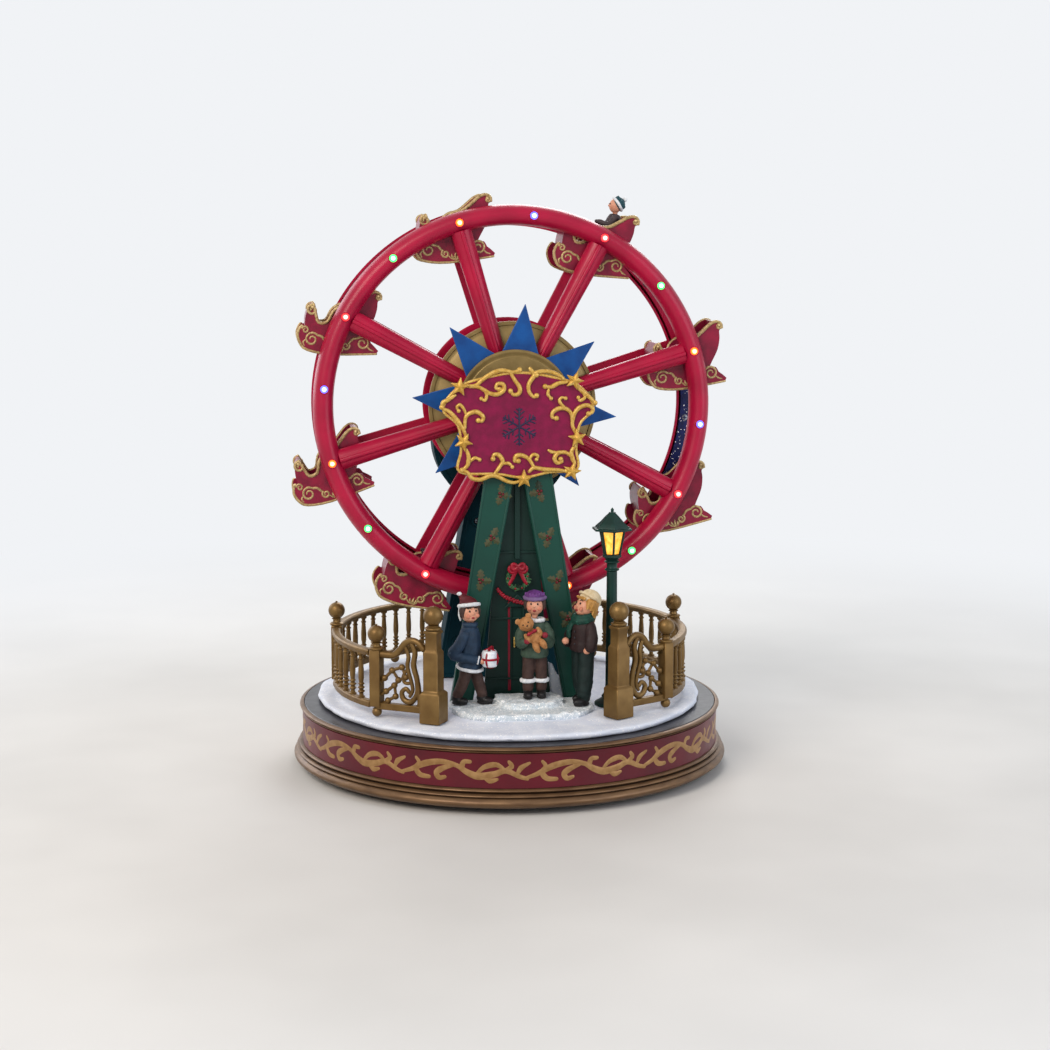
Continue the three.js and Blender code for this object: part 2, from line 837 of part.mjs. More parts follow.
function balustrade() {
  const postAngle = THREE.MathUtils.radToDeg((smallPostHalf * Math.SQRT2 + seat) / fenceRadius);
  const from = fenceEndAngle + postAngle;
  const to = 180 - from;
  const bottom = ground + bottomRailHeight;
  const top = ground + topRailHeight;
  const spindleHeight = top - bottom;
  const count = Math.round(radians(to - from) * fenceRadius / spindlePitch);
  const spindles = range(count - 1).map((i) => {
    const spindle = rod(spindleRadius, spindleHeight, 4).rotateX(Math.PI / 2);
    const angle = from + (to - from) * (i + 1) / count;
    return onFence(spindle.translate(0, 0, bottom + railThickness / 2 + spindleHeight / 2), angle);
  });
  const posts = [farPostAngle, 180 - farPostAngle].flatMap((angle) => (
    smallPost().map((piece) => onFence(piece, angle))));
  const feet = [backPostAngle, 180 - backPostAngle].map((angle) => {
    const leg = rod(footBallRadius, bottomRailHeight + railThickness / 2, smallSegments).rotateX(Math.PI / 2);
    return onFence(leg.translate(0, 0, ground + (bottomRailHeight + railThickness / 2) / 2), angle);
  });
  return join(
    arcRail(railHalfWidth, railThickness, bottom, from, to),
    arcRail(topRailHalfWidth, railThickness, top, from, to),
    ...spindles,
    ...posts,
    ...feet,
  );
}

// Towers

function frontTower() {
  const head = arc(towerHeadRadius, towerHeadStart, 180 - towerHeadStart, towerHeadSteps, hubHeight);
  const frame = plate([
    [-legFootOuter, ground],
    [-legFootInner, ground],
    [-legHeadInner, crotchHeight],
    [legHeadInner, crotchHeight],
    [legFootInner, ground],
    [legFootOuter, ground],
    ...head,
  ], -towerFront, towerThickness);
  const bore = rod(axleRadius + running, bearingDepth + overrun, roundSegments);
  const back = -towerFront + towerThickness;
  return cut(solid(frame), bore.translate(0, back + (overrun - bearingDepth) / 2, hubHeight));
}

function boothPanel() {
  const front = -towerFront + towerThickness + seat;
  const sheet = plate([
    [-panelFootHalf, ground],
    [panelFootHalf, ground],
    [panelTopHalf, panelTop],
    [-panelTopHalf, panelTop],
  ], front, panelThickness);
  const rib = box(2 * ribHalfWidth, ribDepth + panelThickness / 2, panelTop - ribBottom);
  const gable = plate([
    [-gableHalfWidth, gableBottom],
    [gableHalfWidth, gableBottom],
    [0, gableTop],
  ], front - ribDepth, ribDepth + panelThickness / 2);
  const ribMiddle = front + (panelThickness / 2 - ribDepth) / 2;
  return join(sheet, rib.translate(0, ribMiddle, (ribBottom + panelTop) / 2), gable);
}

function doorWreath() {
  const middle = -towerFront + towerThickness - wreathTube;
  const ring = new THREE.TorusGeometry(wreathRadius, wreathTube, wreathSides, wreathSteps).rotateX(Math.PI / 2);
  const lobes = [-1, 1].map((side) => {
    const lobe = new THREE.SphereGeometry(1, tinySegments, ballSteps).scale(bowReach / 2, bowRadius, bowRadius);
    return lobe.translate(side * bowReach / 2, middle, wreathHeight + wreathRadius);
  });
  return join(ring.translate(0, middle, wreathHeight), ...lobes);
}

// The sign's outline in shares of its half width and half height, from the left foot round.
const signShares = [
  [-0.8, -0.96], [-0.3, -1.02], [0.06, -1.1], [0.4, -1], [0.78, -0.94], [0.77, -0.5], [0.82, 0],
  [1, 0.35], [0.8, 0.8], [0.4, 1], [0, 1.08], [-0.4, 1], [-0.8, 0.8], [-1.02, 0.35], [-0.82, 0], [-0.78, -0.5],
];

function signOutline(inset) {
  return signShares.map(([x, z]) => [
    x * (signHalfWidth - inset),
    signMiddle + z * (signHalfHeight - inset),
  ]);
}

function signPlaque() {
  return solid(plate(signOutline(0), -towerFront - seat - signThickness, signThickness));
}

function starOutline(tipRadius, rootRadius, tips, turn, x, z) {
  return range(2 * tips).map((i) => {
    const radius = i % 2 === 0 ? tipRadius : rootRadius;
    const angle = radians(90 - turn - 180 * i / tips);
    return [x + radius * Math.cos(angle), z + radius * Math.sin(angle)];
  }).reverse();
}

const signStarShares = [[-0.79, 0.78], [0.73, 0.89], [0.77, -0.28], [-0.74, -0.33], [0.06, -1.1], [0.7, -0.96]];

function signFrame() {
  const back = -towerFront - 2 * seat - signThickness;
  const ring = outline(signOutline(-signFrameWidth / 2));
  ring.holes.push(outline(signOutline(signFrameWidth / 2).reverse()));
  const frame = slab(ring, signFrameThickness).rotateX(Math.PI / 2).translate(0, back, 0);
  const stars = signStarShares.map(([x, z], i) => {
    const points = starOutline(signStarRadius, signStarRadius / 2, signStarTips, signStarTurn * i,
      x * signHalfWidth, signMiddle + z * signHalfHeight);
    return plate(points, back - signStarThickness, signStarThickness);
  });
  return join(frame, ...stars);
}

// The head is a tall oval: its lower half bulges under the hub.
function rearOutline(inset) {
  const radius = rearHeadRadius - inset;
  return [
    [-rearFootHalf + inset, ground + inset],
    [rearFootHalf - inset, ground + inset],
    [rearNeckHalf - inset, rearNeckHeight],
    ...arc(radius, rearHeadStart, 0, rearHeadSteps, hubHeight - rearHeadDrop),
    ...arc(radius, 0, 180, 2 * rearHeadSteps, hubHeight),
    ...arc(radius, 180, 180 - rearHeadStart, rearHeadSteps, hubHeight - rearHeadDrop),
    [-rearNeckHalf + inset, rearNeckHeight],
  ];
}

function rearTowerShell() {
  const wall = rearTowerWall;
  const shell = plate(rearOutline(0), rearTowerFront, rearTowerDepth);
  const cavity = plate(rearOutline(wall), rearTowerFront + wall, rearTowerDepth);
  const bore = rod(axleRadius + running, 4 * wall, roundSegments);
  return cut(solid(shell), cavity, bore.translate(0, rearTowerFront, hubHeight));
}

const rearCoverFront = rearTowerFront + rearTowerDepth + seat;

function rearTowerCover() {
  return solid(plate(rearOutline(0), rearCoverFront, rearCoverThickness));
}

// Drive in the rear tower: the motor turns the pinion, the pinion turns the gear on the axle.

function gearShape(teeth, turn) {
  const pitchRadius = gearModule * teeth / 2;
  const outer = pitchRadius + gearModule * addendumShare;
  const root = pitchRadius - gearModule * dedendumShare;
  const step = 360 / teeth;
  const points = range(teeth).flatMap((i) => {
    const middle = turn + step * i;
    return [[root, -toothRootShare], [outer, -toothTipShare], [outer, toothTipShare], [root, toothRootShare]]
      .map(([radius, share]) => {
        const angle = radians(middle + step * share);
        return [radius * Math.cos(angle), radius * Math.sin(angle)];
      });
  });
  return outline(points);
}

const gearFront = rearTowerFront + rearTowerWall + running;

function upright(shape, front, thickness) {
  return slab(shape, thickness).rotateX(Math.PI / 2).translate(0, front + thickness, 0);
}

// A tooth of the gear points straight down between two teeth of the pinion.
function driveGear() {
  const gear = upright(gearShape(gearTeeth, -90), gearFront, gearWidth);
  return cut(solid(gear), wheelBore());
}

function motorPinion() {
  const gear = upright(gearShape(pinionTeeth, 90 + 180 / pinionTeeth), gearFront, gearWidth);
  return solid(gear.translate(0, 0, hubHeight - gearDistance));
}

function gearMotor() {
  const front = gearFront + gearWidth + seat;
  const length = rearCoverFront - seat - front;
  const can = rod(motorRadius, length, roundSegments);
  return solid(can.translate(0, front + length / 2, hubHeight - gearDistance));
}

const slipRingFront = gearFront + gearWidth + seat;

function slipRing() {
  const inner = axleRadius + seat;
  const groove = slipRingRadius - slipRingGroove;
  const shoulder = slipRingFront + slipRingWidth * slipRingShoulderShare;
  const back = slipRingFront + slipRingWidth;
  const profile = [
    [slipRingRadius, slipRingFront],
    [slipRingRadius, shoulder],
    [groove, shoulder],
    [groove, back],
    [inner, back],
    [inner, slipRingFront],
  ];
  return solid(turnedAboutY(closed(profile), roundSegments));
}

function brushBlock() {
  const length = rearCoverFront - seat - slipRingFront;
  const bottom = hubHeight + slipRingRadius + running;
  const block = box(brushWidth, length, brushHeight);
  return solid(block.translate(0, slipRingFront + length / 2, bottom + brushHeight / 2));
}

// Wheel, drawn about its own middle with the axle along Y

const wheel = new THREE.Group();
wheel.position.set(0, 0, hubHeight);
wheelDecoration.add(wheel);

function wheelBore() {
  return rod(axleRadius + seat, 2 * axleBack, roundSegments);
}

// The angle runs clockwise from the top, seen from the front.
const armAngle = (index) => radians(wheelTurn + 360 * (index - 1) / armCount);

function atArm(piece, angle) {
  return piece.rotateY(angle);
}

// A light stands at each arm and halfway between two arms.
const ledAngle = (index) => armAngle(1) + Math.PI * index / armCount;

function rimRing(side) {
  const lip = side * rimPlane;
  const half = (width, depth, steps) => range(steps + 1).map((i) => {
    const angle = Math.PI * i / steps;
    return [ledCircle - width * Math.cos(angle), lip + side * depth * Math.sin(angle)];
  });
  const outer = half(rimHalfWidth, rimDepth, rimOuterSteps);
  const inner = half(rimHalfWidth - rimWall, rimDepth - rimWall, rimInnerSteps).reverse();
  return turnedAboutY(closed([...outer, ...inner]), wheelSegments);
}

function spoke(side, angle) {
  const inner = hubBossRadius / 2;
  const length = ledCircle - rimHalfWidth + spokeSeatDepth - inner;
  const bar = new THREE.CylinderGeometry(spokeTipWidth / 2, spokeHubWidth / 2, length, spokeSides);
  const upwards = bar.scale(1, 1, spokeDepth / spokeTipWidth).rotateX(Math.PI / 2);
  return atArm(upwards.translate(0, side * (rimPlane + spokeDepth / 2), inner + length / 2), angle);
}

function bridge(side, angle) {
  const width = 2 * (rimHalfWidth - bridgeRimLap);
  const piece = box(bridgeLength, bridgeThickness, width);
  return atArm(piece.translate(0, side * rimPlane, ledCircle), angle);
}

function ledHole(index) {
  const hole = rod(ledRadius + running, rimDepth, ledSides);
  return atArm(hole.translate(0, -rimPlane - rimDepth, ledCircle), ledAngle(index));
}

function wheelSide(side) {
  const arms = range(armCount).map((i) => armAngle(i + 1));
  const boss = rod(hubBossRadius, rimDepth, roundSegments).translate(0, side * (rimPlane + rimDepth / 2), 0);
  const pieces = [
    rimRing(side),
    boss,
    ...arms.map((angle) => spoke(side, angle)),
    ...arms.map((angle) => bridge(side, angle)),
  ];
  const pins = side < 0 ? [] : arms.map((angle) => {
    const length = 2 * rimPlane - bridgeThickness / 2 - seat;
    const pin = rod(pinRadius, length, tinySegments);
    return atArm(pin.translate(0, rimPlane - length / 2, ledCircle), angle);
  });
  const holes = side > 0 ? [] : range(2 * armCount).map((i) => ledHole(i));
  return cut(join(...pieces, ...pins), wheelBore(), ...holes);
}

// A flat ring of board lies in the channel of each rim; the front one carries the lights.
function channelRing(side) {
  const near = side * (rimPlane + bridgeThickness / 2 + seat);
  const far = near + side * ledRingThickness;
  return turnedAboutY(closed([
    [ledCircle - ledRingHalfWidth, near],
    [ledCircle + ledRingHalfWidth, near],
    [ledCircle + ledRingHalfWidth, far],
    [ledCircle - ledRingHalfWidth, far],
  ]), wheelSegments);
}

function ledRing() {
  const board = -(rimPlane + bridgeThickness / 2 + seat + ledRingThickness / 2);
  const shoulder = -(rimPlane + rimDepth);
  const dome = turnedAboutY([
    [0, board],
    [ledRadius, board],
    [ledRadius, shoulder],
    [0, shoulder - ledTip],
  ], ledSides);
  const domes = range(2 * armCount).map((i) => atArm(dome.clone().translate(0, 0, ledCircle), ledAngle(i)));
  return join(channelRing(-1), ...domes);
}

function hubDisc(radius, middle) {
  return cut(solid(rod(radius, discThickness, discSegments).translate(0, middle, 0)), wheelBore());
}

function hubStar() {
  const turn = wheelTurn - 180 / armCount;
  const points = starOutline(starTipRadius, starRootRadius, armCount, turn, 0, 0);
  const back = -(rimPlane + rimDepth + seat);
  return cut(solid(plate(points, back - starThickness, starThickness)), wheelBore());
}

function hubCap() {
  const back = -(rimPlane + rimDepth + starThickness + 2 * seat);
  const front = back - capThickness;
  const disc = turnedAboutY([
    [0, back],
    [capRadius, back],
    [capRadius, front + capBevel],
    [capRadius - capBevel, front],
    [0, front],
  ], discSegments);
  return cut(solid(disc), wheelBore());
}

function wheelAxle() {
  const spacer = rimPlane - discThickness - 2 * seat;
  const front = -axleFront + running;
  return solid(turnedAboutY([
    [0, front],
    [axleRadius, front],
    [axleRadius, -spacer],
    [spacerRadius, -spacer],
    [spacerRadius, spacer],
    [axleRadius, spacer],
    [axleRadius, axleBack],
    [0, axleBack],
  ], roundSegments));
}

// Gondolas: little sleighs that face left and hang from their pins.

// Outlines in shares of the reach, drop and rise from the pin.
const hullShares = [
  [-0.69, 0.34], [-0.79, 0.22], [-0.856, -0.11], [-0.83, -0.42], [-0.72, -0.66], [-0.49, -0.82], [0.16, -0.84],
  [0.42, -0.62], [0.574, -0.34], [0.75, -0.05], [0.835, 0.33], [0.88, 0.62], [1, 0.8], [0.93, 0.93], [0.777, 1],
  [0.5, 0.7], [0.16, 0.4], [-0.1, 0.34], [-0.26, 0.12], [-0.37, -0.18], [-0.555, -0.205], [-0.63, 0],
];
const cavityShares = [
  [-0.6, 0.3], [-0.72, -0.05], [-0.75, -0.36], [-0.64, -0.6], [-0.45, -0.75], [0.12, -0.77], [0.33, -0.58],
  [0.48, -0.33], [0.65, -0.03], [0.74, 0.36], [0.8, 0.7], [0.8, 1.3], [-0.6, 1.3],
];
const runnerShares = [
  [-0.94, -0.32], [-1, -0.54], [-0.94, -0.76], [-0.76, -0.93], [-0.23, -1], [1, -0.89], [0.8, -0.62],
  [0.56, -0.46], [-0.66, -0.47], [-0.83, -0.31],
];

function fromPin([x, z]) {
  return [
    x * (x < 0 ? gondolaReachLeft : gondolaReachRight),
    z * (z < 0 ? gondolaDrop : gondolaRise),
  ];
}

function gondolaBody() {
  const full = plate(hullShares.map(fromPin), -gondolaHalfWidth, 2 * gondolaHalfWidth);
  const inside = gondolaHalfWidth - gondolaWall;
  const cavity = plate(cavityShares.map(fromPin), -inside, 2 * inside);
  const runners = [-gondolaHalfWidth, inside].map((front) => (
    plate(runnerShares.map(fromPin), front, gondolaWall)));
  const eye = rod(pinRadius + pinPlay, 4 * gondolaHalfWidth, tinySegments);
  const hull = cut(solid(full), cavity, eye);
  return runners.map(solid).reduce((whole, runner) => whole.add(runner), hull);
}

// A rider's bust, in shares of its radius and height.
const riderShares = [
  [0, 0], [0.1, 0], [0.25, 0.05], [0.46, 0.125], [0.8, 0.25], [0.9, 0.36], [0.86, 0.58], [0.42, 0.69],
  [0.72, 0.75], [0.78, 0.85], [0.56, 0.95], [0.2, 1], [0, 1],
];

function rider() {
  const [r, h] = [riderRadius, riderHeight];
  const bust = turned(riderShares.map(([a, b]) => [a * r, b * h]), smallSegments);
  return solid(bust.translate(riderOffset, 0, riderSeatHeight));
}

// Lamp post, with its cage and roof

function lampPost() {
  const bottom = ground + lanternBottom;
  const pole = turned([
    [0, ground],
    [lampFootRadius, ground],
    [lampFootRadius, ground + lampFootHeight / 3],
    [lampCollarRadius, ground + lampFootHeight],
    [lampPoleRadius, ground + 2 * lampFootHeight],
    [lampPoleRadius, bottom - 2 * lampFloor],
    [lampCollarRadius, bottom - lampFloor],
    [lanternBottomRadius, bottom - lampFloor],
    [lanternBottomRadius, bottom],
    [0, bottom],
  ], smallSegments);
  const eave = ground + lanternTop;
  const peak = eave + lampEave + lampRoofHeight;
  const roof = turned([
    [0, eave],
    [lampRoofRadius, eave],
    [lampRoofRadius, eave + lampEave],
    [lampFinialRadius, peak],
    [0, peak + lampEave],
  ], lampSides);
  const height = lanternTop - lanternBottom;
  const bars = range(lampSides).map((i) => {
    const lean = [lanternBottomRadius, lanternTopRadius].map((radius) => radius - lampBarWidth / 2);
    const points = [[0, -lean[0], bottom - lampFloor / 2], [0, -lean[1], bottom + height + lampEave / 2]];
    return tube(points, lampBarWidth / 2, 1, 4).rotateZ(2 * Math.PI * i / lampSides);
  });
  return join(...[pole, roof, ...bars].map((piece) => piece.translate(lampPlaceX, lampPlaceY, 0)));
}

function lampGlass() {
  const bottom = ground + lanternBottom + seat;
  const top = ground + lanternTop - seat;
  const inset = lampBarWidth + 2 * seat;
  const panes = turned([
    [0, bottom],
    [lanternBottomRadius - inset, bottom],
    [lanternTopRadius - inset, top],
    [0, top],
  ], lampSides);
  return solid(panes.translate(lampPlaceX, lampPlaceY, 0));
}

// Figures: one moulded piece each, drawn facing -Y on its own feet.

function figure({ torsoShares, arms, extras }) {
  const trunk = turned(torsoShares.map(([r, z]) => [r * figureRadius, z * figureHeight]), trunkSides);
  const legs = [-1, 1].flatMap((side) => {
    const leg = new THREE.CylinderGeometry(trouserRadius, legRadius, legLength, tinySegments);
    const boot = box(bootWidth, bootLength, bootHeight);
    return [
      leg.rotateX(Math.PI / 2).translate(side * legSpread, 0, bootHeight / 2 + legLength / 2),
      boot.translate(side * legSpread, -bootLength / 6, bootHeight / 2),
    ];
  });
  const limbs = arms.map((points) => tube(
    points.map(([x, y, z]) => [x * figureRadius, y * figureRadius, z * figureHeight]),
    armRadius, 2, armSides));
  return [trunk, ...legs, ...limbs, ...extras];
}

// A figure stands at a share of the steps' half width from their middle, and of their depth from the tower.
function standing(pieces, sideShare, frontShare, z, turn) {
  const x = stepHalfWidth * sideShare;
  const y = -towerFront - stepDepth * frontShare;
  return join(...pieces.map((piece) => piece.rotateZ(radians(turn)).translate(x, y, z)));
}

const coatShares = [
  [0, 0.3], [0.98, 0.32], [0.94, 0.5], [0.8, 0.66], [0.36, 0.73], [0.62, 0.78], [0.66, 0.85], [0.74, 0.9],
  [0.5, 0.96], [0.2, 1], [0, 1],
];
// Arms from shoulder to hand, in shares of the figure's radius and height.
const bentShares = [[0.8, 0, 0.65], [1.02, -0.15, 0.52], [0.6, -1.05, 0.45]];
const hangingShares = [[0.8, 0, 0.65], [1.1, 0, 0.52], [1.05, -0.1, 0.38]];
const arm = (side, shares) => shares.map(([x, y, z]) => [side * x, y, z]);
const handShare = 0.45;
const heldHeight = handShare * figureHeight;
const lowerStepTop = ground + stepHeight + seat;
const upperStepTop = ground + stepHeight + upperStepHeight + seat;

function boyWithPresent() {
  const present = box(presentLength, presentSide, presentSide);
  const pieces = figure({
    torsoShares: coatShares,
    arms: [arm(-1, bentShares), arm(1, bentShares)],
    extras: [present.translate(0, -presentReach, heldHeight)],
  });
  return standing(pieces, boySideShare, boyFrontShare, lowerStepTop, boyTurn);
}

function childWithTeddy() {
  const teddy = new THREE.SphereGeometry(teddyRadius, tinySegments, ballSteps).rotateX(Math.PI / 2);
  const head = new THREE.SphereGeometry(teddyHeadRadius, tinySegments, ballSteps).rotateX(Math.PI / 2);
  const pieces = figure({
    torsoShares: coatShares,
    arms: [arm(-1, bentShares), arm(1, bentShares)],
    extras: [
      teddy.translate(0, -figureRadius, heldHeight),
      head.translate(0, -figureRadius, heldHeight + teddyHeadRise),
    ],
  });
  return standing(pieces, childSideShare, childFrontShare, upperStepTop, childTurn);
}

function childWithScarf() {
  const pieces = figure({
    torsoShares: coatShares,
    arms: [arm(-1, bentShares), arm(1, hangingShares)],
    extras: [],
  });
  return standing(pieces, friendSideShare, friendFrontShare, lowerStepTop, friendTurn);
}

// The whole decoration

function addBase() {
  add('base_foot_ring', footRing(), bronze);
  add('base_band', band(), maroon);
  add('base_rim', deckRim(), bronze);
  add('deck_plate', deck(), slate);
  add('bottom_cover', bottomCover(), black);
  add('battery_door', batteryDoor(), black);
  for (const i of range(batteryCount)) add(`battery_${i + 1}`, battery(i), steel);
  for (const i of range(4)) add(`foot_${i + 1}`, foot(i), black);
  add('speaker', speaker(), black);
  add('control_board', controlBoard(), green);
  add('power_switch', powerSwitch(), black);
  add('power_socket', powerSocket(), black);
}

function addScenery() {
  add('snow_ground', snowGround(), snowWhite);
  add('snow_steps', snowSteps(), snowWhite);
  add('gate_post_left', gatePost(-1), bronze);
  add('gate_post_right', gatePost(1), bronze);
  add('gate_panel_left', gatePanel(-1), bronze);
  add('gate_panel_right', gatePanel(1), bronze);
  add('balustrade', balustrade(), bronze);
  add('lamp_post', lampPost(), darkGreen);
  add('lamp_glass', lampGlass(), amber);
  add('boy_with_present', boyWithPresent(), coatBlue);
  add('child_with_teddy', childWithTeddy(), coatGreen);
  add('child_with_scarf', childWithScarf(), coatBrown);
}

function addTowers() {
  add('front_tower', frontTower(), green);
  add('booth_panel', boothPanel(), darkGreen);
  add('door_wreath', doorWreath(), wreathGreen);
  add('sign_plaque', signPlaque(), crimson);
  add('sign_frame', signFrame(), paleGold);
  add('rear_tower_shell', rearTowerShell(), darkGreen);
  add('rear_tower_cover', rearTowerCover(), darkGreen);
  add('gear_motor', gearMotor(), steel);
  add('motor_pinion', motorPinion(), ivory);
  add('brush_block', brushBlock(), ivory);
}

function addWheel() {
  const discMiddle = rimPlane - seat - discThickness / 2;
  add('wheel_axle', wheelAxle(), steel, wheel);
  add('front_rim', wheelSide(-1), crimson, wheel);
  add('rear_rim', wheelSide(1), crimson, wheel);
  add('front_led_ring', ledRing(), boardBlue, wheel);
  add('rear_wiring_ring', solid(channelRing(1)), boardBlue, wheel);
  add('front_hub_disc', hubDisc(largeDiscRadius, -discMiddle), paleGold, wheel);
  add('rear_hub_disc', hubDisc(rearDiscRadius, discMiddle), crimson, wheel);
  add('hub_star', hubStar(), blue, wheel);
  add('hub_cap', hubCap(), paleGold, wheel);
  add('drive_gear', driveGear(), ivory, wheel);
  add('slip_ring', slipRing(), steel, wheel);
}

function addGondolas() {
  for (const i of range(armCount).map((arm) => arm + 1)) {
    const angle = armAngle(i);
    const hanger = new THREE.Group();
    hanger.position.set(ledCircle * Math.sin(angle), 0, ledCircle * Math.cos(angle));
    hanger.rotation.y = -radians(gondolaTilts[i - 1]);
    wheel.add(hanger);
    add(`gondola_${i}`, gondolaBody(), crimson, hanger);
    if (riderGondolas.includes(i)) add(`rider_${i}`, rider(), coatBrown, hanger);
  }
}

addBase();
addScenery();
addTowers();
addWheel();
addGondolas();

export default wheelDecoration;
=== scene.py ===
"""Dresses the CAD model of a lit Christmas ferris wheel: pieces, finishes, light and camera."""
import json
import logging
import math
import random
from dataclasses import dataclass, field
from enum import Enum
from typing import Callable, Iterable, Sequence

import bmesh
import bpy
from mathutils import Matrix, Vector, noise

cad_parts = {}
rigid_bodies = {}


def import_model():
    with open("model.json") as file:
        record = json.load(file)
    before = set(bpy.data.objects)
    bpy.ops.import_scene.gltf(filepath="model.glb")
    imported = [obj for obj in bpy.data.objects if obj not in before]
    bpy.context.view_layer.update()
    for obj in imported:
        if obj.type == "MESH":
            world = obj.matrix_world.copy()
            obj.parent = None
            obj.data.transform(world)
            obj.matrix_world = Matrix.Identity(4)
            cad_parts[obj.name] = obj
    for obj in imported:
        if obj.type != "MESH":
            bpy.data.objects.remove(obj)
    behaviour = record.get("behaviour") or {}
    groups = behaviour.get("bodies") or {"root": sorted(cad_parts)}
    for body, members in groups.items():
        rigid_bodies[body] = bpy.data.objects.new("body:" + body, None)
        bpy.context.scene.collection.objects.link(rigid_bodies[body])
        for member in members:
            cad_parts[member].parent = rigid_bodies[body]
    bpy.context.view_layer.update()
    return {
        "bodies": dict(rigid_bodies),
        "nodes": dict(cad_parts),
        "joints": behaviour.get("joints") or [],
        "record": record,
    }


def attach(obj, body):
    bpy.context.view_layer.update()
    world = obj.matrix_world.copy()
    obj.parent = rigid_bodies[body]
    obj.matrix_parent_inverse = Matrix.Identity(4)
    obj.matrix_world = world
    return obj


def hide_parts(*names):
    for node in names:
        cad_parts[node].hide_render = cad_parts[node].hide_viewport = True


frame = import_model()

log = logging.getLogger("ferris_wheel")

MM = 0.001
Pair = tuple[float, float]
Triple = tuple[float, float, float]
Colour = tuple[float, float, float, float]
Socket = bpy.types.NodeSocket

# Levels of the base and places that several classes share, in millimetres
BAND_BOTTOM, BAND_TOP = 13.8, 31.6
SNOW_TOP = 39.0
GROUND = 39.3
STEP_TOP, HIGH_STEP_TOP = 43.3, 46.3
HUB_HEIGHT = 198.65
LED_CIRCLE = 102.0
TOWER_FACE = -41.0
FENCE_RADIUS = 96.0

# The wheel's arms, the turn of the first one and the angle between two lights
ARMS = 8
WHEEL_TURN = 28.4
LIGHT_STEP = 180 / ARMS

# Picks the pattern of Blender's vector noise, which otherwise starts from the clock
NOISE_SEED = 11

# Stops, scales and spreads of the finishes; the recess stops pick where shade is painted into recesses, the edge and
# chip ones where a highlight with wear is painted on raised edges
DARK, PALE = (0, 0, 0, 1), (1, 1, 1, 1)
CLOUD_STOPS = (0.35, 0.68)
RECESS_STOPS = (0.43, 0.49)
EDGE_STOPS = (0.52, 0.6)
CHIP_STOPS, CHIP_SCALE = (0.35, 0.6), 900
# Size and colour of the painted glints of glitter
FLAKE_SCALE, GLINT_COLOUR = 1900, "ffffff"
PAINT_SPREAD, LEAST_ROUGH, COAT_ROUGH = 0.22, 0.02, 0.12
GRAIN_DEPTH = 0.25
CORE_STOPS, CORE_SCALE, GLOW_ROUGH = (0.3, 0.7), 420, 0.25
BRUSH_SCALE, BRUSH_STREAKS, BRUSH_COLOUR = 600, (1, 1, 14), "74787e"
BRUSH_SPREAD, BRUSH_LEAST, BRUSH_DEPTH = 0.2, 0.08, 0.1


def linear(code: str) -> Colour:
    """Turns a hexadecimal display colour into the linear colour that shaders take.

    Args:
        code: Six hexadecimal digits.

    Returns:
        Red, green, blue and full alpha.
    """
    values = [int(code[i:i + 2], 16) / 255 for i in (0, 2, 4)]
    r, g, b = (v / 12.92 if v <= 0.04045 else ((v + 0.055) / 1.055) ** 2.4 for v in values)
    return r, g, b, 1.0


